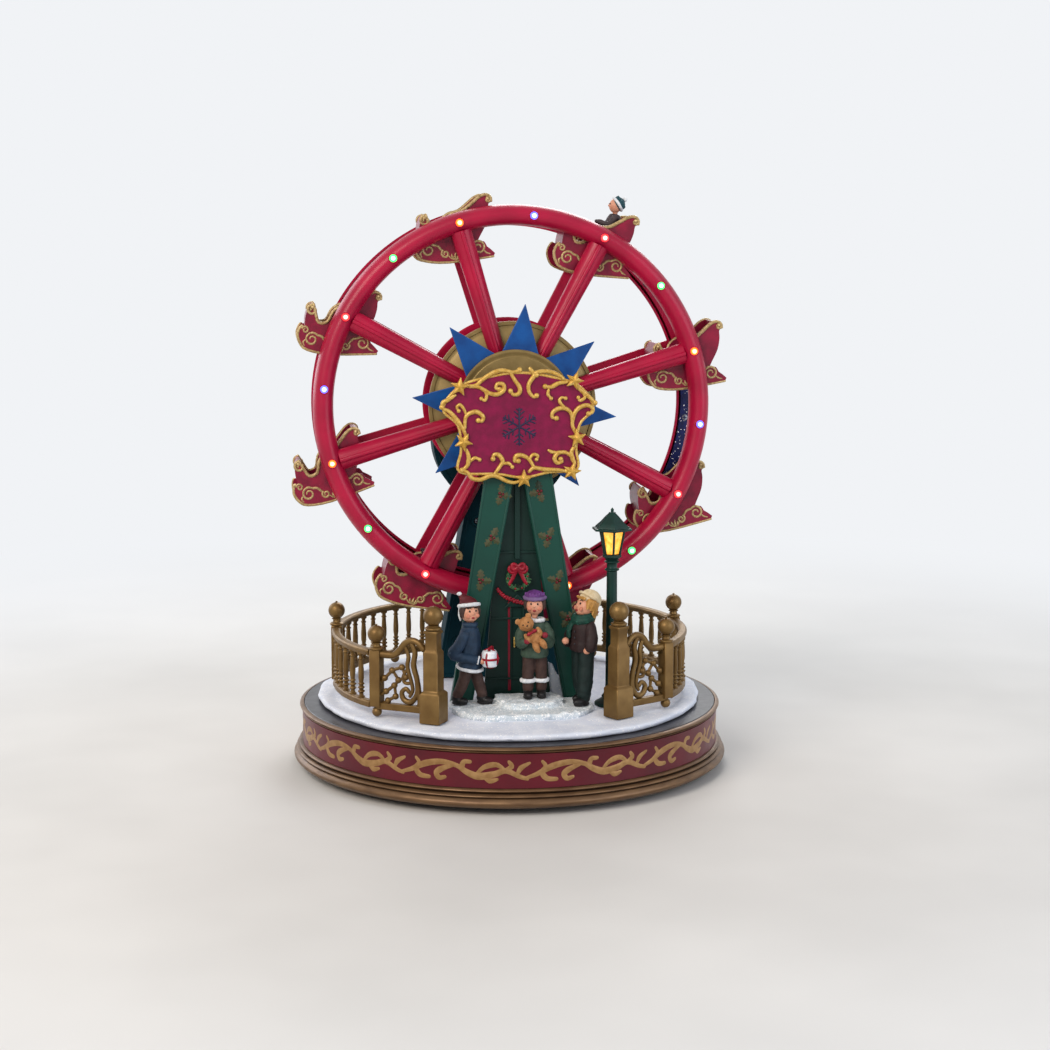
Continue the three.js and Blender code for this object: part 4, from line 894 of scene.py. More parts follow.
@dataclass
class RoundBase:
    """Mouldings, band with painted scrolls, deck, bottom and controls."""

    segments: int = 176
    inner: float = 111.0
    outer: float = 120.0
    band_radius: float = 115.3
    band_hollow: float = 0.4
    band_wall: float = 2.7
    scroll_units: int = 11
    scroll_unit: float = 65.86
    control_height: float = 22.6
    switch_turn: float = 8.0
    socket_turn: float = -8.0

    def build(self) -> None:
        """Builds every piece of the base."""
        self.mouldings()
        self.band()
        self.scrolls()
        self.underside()
        self.controls()

    def mouldings(self) -> None:
        """Builds the foot ring, the upper rim and the deck."""
        foot = [(self.inner, 4.0), *bead(4.0, 5.3, 117.6, self.outer, 14), *bead(9.3, 1.6, 117.6, 118.6)[1:],
                (117.0, 11.1), (116.2, 11.3), *bead(11.8, 1.7, 116.2, 117.3)[1:], (self.inner, 13.5),
                (self.inner, 4.0)]
        piece("foot_ring_moulding", lathe(foot, self.segments), MOULDING, "base", ["base_foot_ring"])
        rim = [(108, 31.9), (115.0, 31.9), *bead(32.0, 0.9, 115.1, 115.7, 4), *bead(32.9, 1.8, 115.2, 116.5, 8)[1:],
               (114.3, 34.8), (114.3, 32.6), (108, 32.6), (108, 31.9)]
        piece("upper_rim_moulding", lathe(rim, self.segments), MOULDING, "base", ["base_rim"])
        deck = [(0, 32.9), (114, 32.9), (114, 34.7), (113.7, 35.0), (100, 35.0), (0, 35.0)]
        piece("slate_deck", lathe(deck, self.segments), SLATE, "base", ["deck_plate"])

    def radius_at(self, height: float) -> float:
        """The band's radius at a height; its face is slightly hollow."""
        share = (height - BAND_BOTTOM) / (BAND_TOP - BAND_BOTTOM)
        return self.band_radius - self.band_hollow * math.sin(math.pi * share)

    def band(self) -> None:
        """Builds the band with the openings of the switch and the inlet."""
        heights = [BAND_BOTTOM + (BAND_TOP - BAND_BOTTOM) * i / 12 for i in range(13)]
        inside = self.band_radius - self.band_wall
        profile = [(inside, BAND_BOTTOM), *((self.radius_at(h), h) for h in heights), (inside, BAND_TOP),
                   (inside, BAND_BOTTOM)]
        place = shift(0, self.band_radius, self.control_height)
        slot = bar((-5.9, -6, -2.6), (5.9, 6, 2.6)).moved(place, turn(self.switch_turn))
        floor = self.band_radius - self.band_hollow - self.band_wall + 0.8
        pocket = bar((-10.4, -6, -4.4), (10.4, floor - self.band_radius, 4.4)).moved(place, turn(self.switch_turn))
        hole = lathe([(0, -6), (4.3, -6), (4.3, 6), (0, 6)], 32).moved(turn(-90, "X"), place, turn(self.socket_turn))
        band = carved(lathe(profile, self.segments), slot, pocket, hole)
        piece("maroon_band", band, MAROON, "base", ["base_band"], angle=30)

    def scrolls(self) -> None:
        """Lays painted vine scrolls round the band, drawn flat and then wrapped."""
        strokes = [
            ([(-6, -3.6), (0, -1.6), (8, 2.2), (17, 3.8), (25, 2.2), (30, -0.8), (36, -2.8), (44, -1.6), (50, 0.2),
              (57, -2.8), (61, -4)], (0.7, 1.7, 1.2, 1.9, 1.4, 0.9)),
            ([(2.8, 4.8), (4.4, 2.2), (2.6, -0.8), (5, -4), (10, -4.6)], (0.8, 1.2, 1.5, 1.0)),
            ([(23, 2.4), (17.4, 0.4), (14, -2), (15.4, -4.6), (18.6, -4)], (0.8, 1.6, 1.4, 0.9)),
            ([(31.4, -1.6), (27.8, 1.2), (28.6, 4.4), (31.8, 4.6)], (0.8, 1.4, 1.0)),
            ([(34.6, -2.2), (39, 2), (45, 3.4), (48.8, 1.2)], (0.7, 1.5, 0.9)),
            ([(38.4, -2.4), (41.8, -5), (45.6, -4.2)], (0.7, 1.4, 0.8)),
            ([(48.6, 0), (52.8, 2.4), (51.6, 5)], (0.7, 1.4, 0.8)),
            ([(55.6, -2.2), (57.6, 1.6), (62, 4.2)], (0.7, 1.4, 0.7)),
        ]
        vines = Shape()
        for unit in range(self.scroll_units):
            for points, radii in strokes:
                path = spline([(x + unit * self.scroll_unit, z) for x, z in points], 5)
                vines.add(sweep(path, radii, 6, flat=0.11))

        def wrap(p: Vector) -> Vector:
            """Puts a point of the flat drawing on the band."""
            height = (BAND_BOTTOM + BAND_TOP) / 2 + p.z
            around = p.x / self.band_radius - math.pi / 2
            reach = self.radius_at(height) - p.y
            return Vector((reach * math.cos(around), reach * math.sin(around), height))

        piece("band_scrolls", vines.bent(wrap), SCROLL_GOLD, "base", angle=60)

    def underside(self) -> None:
        """Dresses the cover, the door and what is inside, and builds feet and screws."""
        dress(BLACK, "bottom_cover", "battery_door", "speaker")
        dress(Metal.CELL, "battery_1", "battery_2", "battery_3")
        dress(BOARD, "control_board")
        foot = lathe([(0, 0), (6.2, 0), (7, 0.8), (7, 6.2), (6.6, 6.7), (3, 6.7), (0, 6.7)], 48)
        for index in range(4):
            x, y = polar(96, 45 + 90 * index)
            piece(f"rubber_foot_{index + 1}", foot.moved(shift(x, y)), RUBBER, "base", [f"foot_{index + 1}"])
            x, y = polar(104, 20 + 90 * index)
            head = screw(2.6, 1.2).moved(turn(180, "X"), shift(x, y, 7))
            piece(f"cover_screw_{index + 1}", head, Metal.SCREW, "base")

    def controls(self) -> None:
        """Builds the slide switch and the adapter inlet at the back of the band."""
        back = self.band_radius - self.band_hollow - self.band_wall + 0.5
        knob = bar((-2.5, back - 0.5, -2.2), (2.5, self.band_radius + 2.4, 2.2))
        ridges = [bar((x - 0.45, self.band_radius + 2, -2.2), (x + 0.45, self.band_radius + 3, 2.2))
                  for x in (-1.8, 0, 1.8)]
        slide = Shape().add(bar((-7, back - 1.4, -4), (7, back, 4)), knob, *ridges)
        slide = slide.moved(shift(0, 0, self.control_height), turn(self.switch_turn))
        piece("slide_switch", slide, BLACK, "switch", ["power_switch"], bevel=0.2)
        front = self.band_radius - 0.6
        inside = self.band_radius - self.band_wall
        inlet = [(0, front - 13), (4, front - 13), (4, inside - 2.4), (5.5, inside - 2.4), (5.5, inside - 0.9),
                 (4, inside - 0.9), (4, front - 0.3), (3.7, front), (2.3, front), (2.0, front - 0.3), (2, front - 6),
                 (0.8, front - 6), (0.8, front - 1.4), (0.4, front - 1), (0, front - 1)]
        turned = lathe(inlet, 40).moved(turn(-90, "X"), shift(0, 0, self.control_height), turn(self.socket_turn))
        piece("adapter_inlet", turned, BLACK, "base", ["power_socket"])


# Snow

@dataclass
class Snow:
    """The snowy ground and the two snow covered steps."""

    radius: float = 106.0
    thickness: float = 3.7
    waves: tuple[int, int] = (3, 5)
    wave_share: float = 0.012
    segments: int = 200

    def build(self) -> None:
        """Builds ground and steps."""
        self.ground()
        self.steps()

    def edge(self, angle: float) -> float:
        """The ground's radius at an angle in radians."""
        return self.radius * (1 + self.wave_share * sum(math.sin(n * angle) / 2 for n in self.waves))

    def ground(self) -> None:
        """Builds the ground with a soft rounded edge."""
        low = SNOW_TOP - self.thickness
        flat = [(share / 30, SNOW_TOP) for share in range(0, 29)]
        lip = [(1 - 0.022 * (1 - math.sin(a)), low + 1.6 + 2.1 * math.cos(a)) for a in
               (math.pi / 2 * k / 6 for k in range(7))]
        profile = [*flat, *lip, (0.994, low + 0.6), (0.985, low), (0, low)]
        shape = lathe(profile, self.segments)

        def lie(p: Vector) -> Vector:
            """Puts a point of the unit disc on the wavy ground."""
            angle = math.atan2(p.y, p.x)
            reach = self.edge(angle)
            height = p.z
            if height > SNOW_TOP - 0.5:
                height -= 0.5 * (0.5 + 0.5 * noise.noise(Vector((p.x * 6, p.y * 6, 0))))
                height += self.ledge(p.x * reach, p.y * reach)
            ripple = 1.7 * noise.noise(Vector((p.x * 5, p.y * 5, 0))) + 0.5 * noise.noise(p * 14)
            share = 1 + ripple / self.radius
            return Vector((p.x * reach * share, p.y * reach * share, height))

        piece("snow_sheet", shape.bent(lie), SNOW, "base", ["snow_ground"], angle=80)

    def ledge(self, x: float, y: float) -> float:
        """How much the snow is heaped up in front of the steps."""
        side = max(0.0, min(1.0, (43 - abs(x)) / 3))
        ahead = max(0.0, min(1.0, (89 + y - 0.004 * x * x) / 2.5))
        back = max(0.0, min(1.0, (-y - 45) / 3))
        return 1.1 * min(side, ahead, back)

    def slab(self, half: float, depth: float, middle: float, bottom: float, top: float, seed: float) -> Shape:
        """Builds one step of crusted snow.

        Args:
            half: Half of its width.
            depth: How far it comes forward from the tower.
            middle: X of its middle.
            bottom: Height of its foot.
            top: Height of its top.
            seed: Picks its pattern.

        Returns:
            The step.
        """
        back = TOWER_FACE - 0.3
        steps = 72
        shape = Shape()
        rows = []
        layers = [(share, top) for share in (0, 0.2, 0.4, 0.55, 0.7, 0.8, 0.88, 0.94, 0.98)]
        layers += [(1.0, top - 0.5), (1.005, (top + bottom) / 2), (0.995, bottom)]
        for share, height in layers:
            row = []
            for i in range(steps + 1):
                a = math.pi * i / steps
                wave = 0.7 * math.sin(7 * a) * math.sin(a) + 1.8 * noise.noise(Vector((i * 0.45, seed, 0)))
                x = math.copysign(abs(math.cos(a)) ** 0.6, math.cos(a))
                reach = abs(math.sin(a)) ** 0.6
                place = Vector((middle - (half + wave) * x * share, back - (depth + wave) * reach * share, height))
                lift = noise.noise(place * 0.35 + Vector((seed, 0, 0))) * 0.35 - 0.3
                ragged = noise.noise(place * 0.9) * 0.55 if share > 0.9 else 0
                row.append(place + Vector((ragged, min(0.0, ragged), lift if height == top else 0)))
            rows.append(shape.ring(row))
        shape.loft(rows, closed=False)
        shape.face([row[0] for row in rows] + [row[-1] for row in reversed(rows)])
        shape.face(rows[-1])
        return shape

    def steps(self) -> None:
        """Builds both steps as one piece."""
        lower = self.slab(38, 38, 0, GROUND, GROUND + 3.9, 3.0)
        upper = self.slab(17, 24, 4, GROUND + 1.8, GROUND + 6.9, 8.0)
        draw = random.Random(5)
        crumbs = Shape()
        for _ in range(150):
            a = math.radians(draw.uniform(8, 172))
            half, depth, middle, top = draw.choice(((37, 37, 0, GROUND + 3.4), (17, 24, 4, GROUND + 6.2)))
            x = middle - half * math.copysign(abs(math.cos(a)) ** 0.6, math.cos(a))
            y = TOWER_FACE - depth * math.sin(a) ** 0.6 + draw.uniform(-1.2, 1.6)
            r = draw.uniform(0.7, 1.7)
            crumbs.add(ball((r * 1.5, r, r * 0.8), (x, y, top - draw.uniform(0, 2.8)), 10, 6))
        crust = rough_up(lower.add(upper, crumbs), 0.7, 0.55, 9.0)
        piece("crusted_steps", crust, CRUST, "base", ["snow_steps"], voxel=0.55, angle=70)


# Fence

@dataclass
class Fence:
    """Gate posts, gate panels with scrolls and twigs, and the balustrade."""

    gate: Pair = (48.7, -74.0)
    end_angle: float = -36.5
    far_angle: float = 7.2
    foot_angle: float = 52.0
    low_rail: float = 43.6
    top_rail: float = 71.3
    rail: float = 3.6
    rail_steps: int = 120
    post: float = 3.0
    pitch: float = 9.6
    spindle: float = 1.7

    def build(self) -> None:
        """Builds every piece of the fence."""
        self.gate_post(-1, "left")
        self.gate_post(1, "right")
        self.panel(-1, "left")
        self.panel(1, "right")
        self.balustrade()

    @property
    def panel_end(self) -> Vector:
        """Where a right gate panel ends, on the fence circle."""
        return Vector(polar(FENCE_RADIUS, self.end_angle))

    @property
    def panel_turn(self) -> float:
        """Direction of the right panel in degrees."""
        reach = self.panel_end - Vector(self.gate)
        return math.degrees(math.atan2(reach.y, reach.x))

    def square(self, profile: Sequence[Pair]) -> Shape:
        """Makes a square post from half widths and heights."""
        return lathe([(half * math.sqrt(2), z) for half, z in profile], 4).moved(turn(45))

    def finial(self, radius: float, middle: float, neck: float, foot: float, tip: bool) -> Shape:
        """Makes a ball on a moulded neck.

        Args:
            radius: Radius of the ball.
            middle: Height of its middle.
            neck: Radius of its neck.
            foot: Height where the neck starts.
            tip: Whether a small tip stands on it.

        Returns:
            The finial.
        """
        start = -math.degrees(math.acos(neck / radius)) + 4
        seat = middle - radius
        profile = [(0, foot), (neck * 1.9, foot), *bead(foot, 1.5, neck * 1.7, neck * 2.1, 6)[1:],
                   (neck * 1.2, foot + 1.8), (neck, seat - 0.2), *bead(seat - 0.6, 1.1, neck, neck * 1.5, 5)]
        profile += arc(radius, start, 84 if tip else 90, 16, (0, middle))
        if tip:
            profile += [(radius * 0.16, middle + radius + 0.5), (0, middle + radius + 0.8)]
        else:
            profile[-1] = (0, middle + radius)
        return lathe(profile, 40)

    def gate_post(self, side: int, word: str) -> None:
        """Builds a gate post with its ball.

        Args:
            side: -1 for left, 1 for right.
            word: The side's word in the piece's name.
        """
        g = GROUND
        stock = self.square([(0, g), (5.7, g), (5.7, g + 15.2), (5.2, g + 16), (4.15, g + 17), (4.15, g + 37),
                             (3.8, g + 37.8), (3.3, g + 38.8), (3.3, g + 46.6), (3.9, g + 47.4), (3.9, g + 48.6),
                             (0, g + 49.2)])
        top = self.finial(5.2, g + 56.2, 2.1, g + 49.0, False)
        place = (turn(side * self.panel_turn), shift(side * self.gate[0], self.gate[1]))
        piece(f"gate_post_stock_{word}", stock.moved(*place), BRONZE, "base", [f"gate_post_{word}"], bevel=0.45)
        piece(f"gate_post_ball_{word}", top.moved(*place), BRONZE, "base")

    def small_post(self) -> tuple[Shape, Shape]:
        """Makes a post with ball and foot at the origin.

        Returns:
            The square stock and the turned pieces.
        """
        g = GROUND
        stock = self.square([(0, g + 5.6), (3, g + 5.6), (3, g + 35.4), (2.6, g + 36), (0, g + 36.2)])
        turned = self.finial(4.6, g + 44.2, 1.9, g + 35.9, True)
        foot = [(0, g), *arc(2.65, -80, 58, 12, (0, g + 2.65)), (1.4, g + 5.2), (1.4, g + 5.8), (0, g + 5.8)]
        turned.add(lathe(foot, 24))
        return stock, turned

    def line(self, points: Sequence[Pair], radius: float | Sequence[float], flat: float = 1.0,
             sides: int = 8) -> Shape:
        """A rod along points of X and height above the ground."""
        return sweep(spline([(x, z + GROUND) for x, z in points], 7), radius, sides, flat=flat)

    def panel(self, side: int, word: str) -> None:
        """Builds a gate panel, drawn along X from the gate post.

        Args:
            side: -1 for left, 1 for right.
            word: The side's word in the piece's name.
        """
        length = (self.panel_end - Vector(self.gate)).length
        stock, turned = (part.moved(shift(length)) for part in self.small_post())
        stock.add(bar((5.9, -1.9, self.low_rail), (length, 1.9, self.low_rail + self.rail)))
        curled = [
            self.line([(length, 33.8), (27, 33.6), (22.6, 34), (19, 37), (16, 40.6), (12, 42.2), (8.2, 41), (5.4, 38)],
                      (2.1, 2.0, 1.9, 1.8, 1.7)),
            self.line([(12.6, 41), (10.6, 36), (11.4, 29), (9.4, 21), (9.6, 14), (13, 9.6), (17, 10.4), (18.4, 14),
                       (16, 16.4), (14, 14.6)], (1.4, 1.6, 1.4, 1.7, 1.3, 1.1)),
            self.line([(16.6, 39.6), (14.4, 34), (15, 28), (13, 21), (12, 16), (13.6, 12.6)], (1.1, 1.2, 1.1, 1.0)),
            self.line([(9.4, 24), (8.4, 16), (8, 9), (10, 6.4)], (1.0, 1.5, 1.2)),
            self.line([(15, 27), (17.4, 23), (16.6, 19.6), (14, 19.4)], (0.8, 1.1, 0.9)),
        ]
        berries = [(18.1, 27.7), (23.8, 25.6), (15.9, 22.5), (20.2, 20.7), (22.6, 17.6), (28.2, 21.1), (27.4, 14.1),
                   (21.9, 11.9), (26.4, 9.2)]
        twigs = [(0, 1), (1, 5), (2, 3), (3, 4), (4, 6), (1, 3), (7, 8), (4, 7), (0, 2)]
        lattice = [self.line([berries[a], berries[b]], 0.9, 1, 6) for a, b in twigs]
        lattice += [self.line([berries[i], (30.6, berries[i][1] - 2.4)], 0.85, 1, 6) for i in (5, 6, 8)]
        lattice += [ball((1.75, 1.75, 1.75), (x, -0.3, z + GROUND), 14, 8) for x, z in berries]
        turned.add(*curled, *lattice)
        place = [turn(self.panel_turn), shift(*self.gate)]
        if side < 0:
            place.append(size(-1, 1, 1))
        piece(f"panel_stock_{word}", stock.moved(*place), BRONZE, "base", [f"gate_panel_{word}"], bevel=0.35)
        piece(f"panel_scrolls_{word}", turned.moved(*place), BRONZE, "base", angle=50)

    def arc_rail(self, section: Sequence[Pair], start: float, end: float) -> Shape:
        """Runs a section of radius and height along the fence circle.

        Args:
            section: Radius and height of each corner.
            start: First angle in degrees.
            end: Last angle in degrees.

        Returns:
            The rail with closed ends.
        """
        shape = Shape()
        turns = [start + (end - start) * i / self.rail_steps for i in range(self.rail_steps + 1)]
        rows = [shape.ring((*polar(r, angle), z) for r, z in section) for angle in turns]
        return shape.loft(rows, capped=True)

    def balustrade(self) -> None:
        """Builds rails, turned spindles, far posts and feet."""
        seam = math.degrees((self.post * math.sqrt(2) + 0.3) / FENCE_RADIUS)
        start = self.end_angle + seam
        end = 180 - start
        low, top, r = self.low_rail, self.top_rail, FENCE_RADIUS
        bottom = [(r - 1.9, low), (r + 1.9, low), (r + 1.9, low + 2.6), (r + 1.4, low + 3.1), (r + 1.4, low + 3.6),
                  (r - 1.4, low + 3.6), (r - 1.4, low + 3.1), (r - 1.9, low + 2.6)]
        hand = [(r - 1.6, top), (r + 1.6, top), (r + 1.7, top + 0.9), (r + 2.4, top + 1.5), (r + 2.4, top + 2.6),
                (r + 1.7, top + 3.4), (r, top + 3.7), (r - 1.7, top + 3.4), (r - 2.4, top + 2.6), (r - 2.4, top + 1.5),
                (r - 1.7, top + 0.9)]
        rails = self.arc_rail(bottom, start, end).add(self.arc_rail(hand, start, end))
        floor = low + self.rail - 0.2
        head = floor + (top - floor + 0.2)
        profile = [(0, floor), (2.0, floor), (2.0, floor + 0.7), (1.3, floor + 1.2), (1.1, floor + 2.2),
                   *bead(floor + 2.6, 1.6, 1.15, 1.9, 6), *bead(floor + 4.7, 1.6, 1.15, 1.9, 6),
                   *bead(floor + 6.8, 1.4, 1.15, 1.7, 6), (1.2, floor + 8.8), (1.5, floor + 10.5),
                   (1.55, floor + 14), (1.2, head - 4.6), *bead(head - 4, 1.3, 1.1, 1.6, 5), (1.1, head - 1.8),
                   (1.9, head - 0.9), (1.9, head), (0, head)]
        turned = Shape()
        stocks = Shape()
        count = round(math.radians(end - start) * r / self.pitch)
        spindle = lathe(profile, 14)
        for i in range(1, count):
            turned.add(spindle.moved(shift(r), turn(start + (end - start) * i / count)))
        for angle in (self.far_angle, 180 - self.far_angle):
            stock, balls = self.small_post()
            stocks.add(stock.moved(shift(r), turn(angle)))
            turned.add(balls.moved(shift(r), turn(angle)))
        for angle in (self.foot_angle, 180 - self.foot_angle):
            foot = lathe([(0, GROUND), *arc(2.6, -80, 50, 8, (0, GROUND + 2.6)), (2, low + 0.4), (0, low + 0.4)], 24)
            turned.add(foot.moved(shift(r), turn(angle)))
        piece("balustrade_rails", rails.add(stocks), BRONZE, "base", ["balustrade"], bevel=0.2, angle=32)
        piece("balustrade_spindles", turned, BRONZE, "base")


# Lamp

@dataclass
class LampPost:
    """A street lamp with a six-sided lantern."""

    place: Pair = (49.6, -46.0)
    floor: float = GROUND + 82.0
    eave: float = GROUND + 95.0
    low_radius: float = 4.9
    high_radius: float = 7.6
    roof_radius: float = 11.4

    def build(self) -> None:
        """Builds post, lantern and panes."""
        g, f, e = GROUND, self.floor, self.eave
        here = shift(*self.place)
        post = [(0, g), (9, g), (9, g + 1.4), (8.2, g + 2), (7.4, g + 2.4), (5.6, g + 3.6),
                *bead(g + 4, 1.6, 4.6, 5.2, 5), (4.1, g + 6.4), (3.5, g + 8), (3.2, g + 11), (3.0, g + 40),
                (2.8, f - 9), *bead(f - 9, 1.6, 2.9, 4.0, 5), (2.7, f - 7), (2.8, f - 5),
                *bead(f - 4.6, 1.2, 3.1, 4.2, 5), (3.4, f - 3), (4.4, f - 1.6), (4.9, f - 1.4), (4.9, f), (0, f)]
        cage = lathe(post, 40)
        cage.add(self.six([(0, f - 1.4), (5.4, f - 1.4), (5.4, f - 0.2), (4.9, f), (0, f)]))
        path = [(self.low_radius - 0.65, 0, f - 0.6), (self.high_radius - 0.65, 0, e + 0.4)]
        cage.add(*(sweep(path, 0.68, 6).moved(turn(-90 + 60 * i)) for i in range(6)))
        cage = cage.moved(here)
        piece("lamp_post_column", cage, LAMP_GREEN, "base", ["lamp_post"], bevel=0.15)
        roof = self.six([(0, e - 0.4), (8.4, e - 0.4), (8.4, e + 0.2), (self.roof_radius, e + 0.2),
                         (self.roof_radius, e + 1.2), (9.8, e + 1.5), (9.4, e + 2.2), (6.6, e + 4.6), (3.8, e + 7.6),
                         (2.0, e + 9.2), (0, e + 9.4)])
        roof.add(lathe([(0, e + 9), (1.9, e + 9), (1.9, e + 9.6), (0.8, e + 9.9), *arc(0.9, -40, 80, 6, (0, e + 10.9)),
                        (0.25, e + 12), (0, e + 12.3)], 20))
        piece("lamp_roof", roof.moved(here), LAMP_GREEN, "base", bevel=0.2)
        panes = self.six([(0, f + 0.3), (self.low_radius - 1.2, f + 0.3), (self.high_radius - 1.2, e - 0.3),
                          (0, e - 0.3)])
        piece("lamp_panes", panes.moved(here), PANE, "base", ["lamp_glass"], bevel=0.1)

    def six(self, profile: Sequence[Pair]) -> Shape:
        """Turns a profile with six sides, one bar facing the front."""
        return lathe(profile, 6).moved(turn(-90))


# Towers

def leaf(length: float, width: float, lift: float) -> Shape:
    """Makes a holly leaf along +X with a raised vein, standing up along -Y.

    Args:
        length: Length of the leaf.
        width: Half its width.
        lift: How far the vein stands out.

    Returns:
        The leaf.
    """
    spikes = [(0, 0.1), (0.16, 0.75), (0.3, 0.5), (0.45, 1.0), (0.6, 0.55), (0.74, 0.8), (0.86, 0.36), (1, 0)]
    shape = Shape()
    upper = shape.ring((x * length, 0, z * width) for x, z in spikes)
    vein = shape.ring((x * length, -lift * (1 - 0.6 * x), 0) for x, z in spikes)
    lower = shape.ring((x * length, 0, -z * width) for x, z in spikes)
    shape.bridge(upper, vein, closed=False)
    shape.bridge(vein, lower, closed=False)
    back = shape.ring((x * length, 0.3, z * width) for x, z in spikes)
    under = shape.ring((x * length, 0.3, -z * width) for x, z in spikes)
    shape.bridge(back, upper, closed=False)
    shape.bridge(lower, under, closed=False)
    shape.bridge(under, back, closed=False)
    return shape


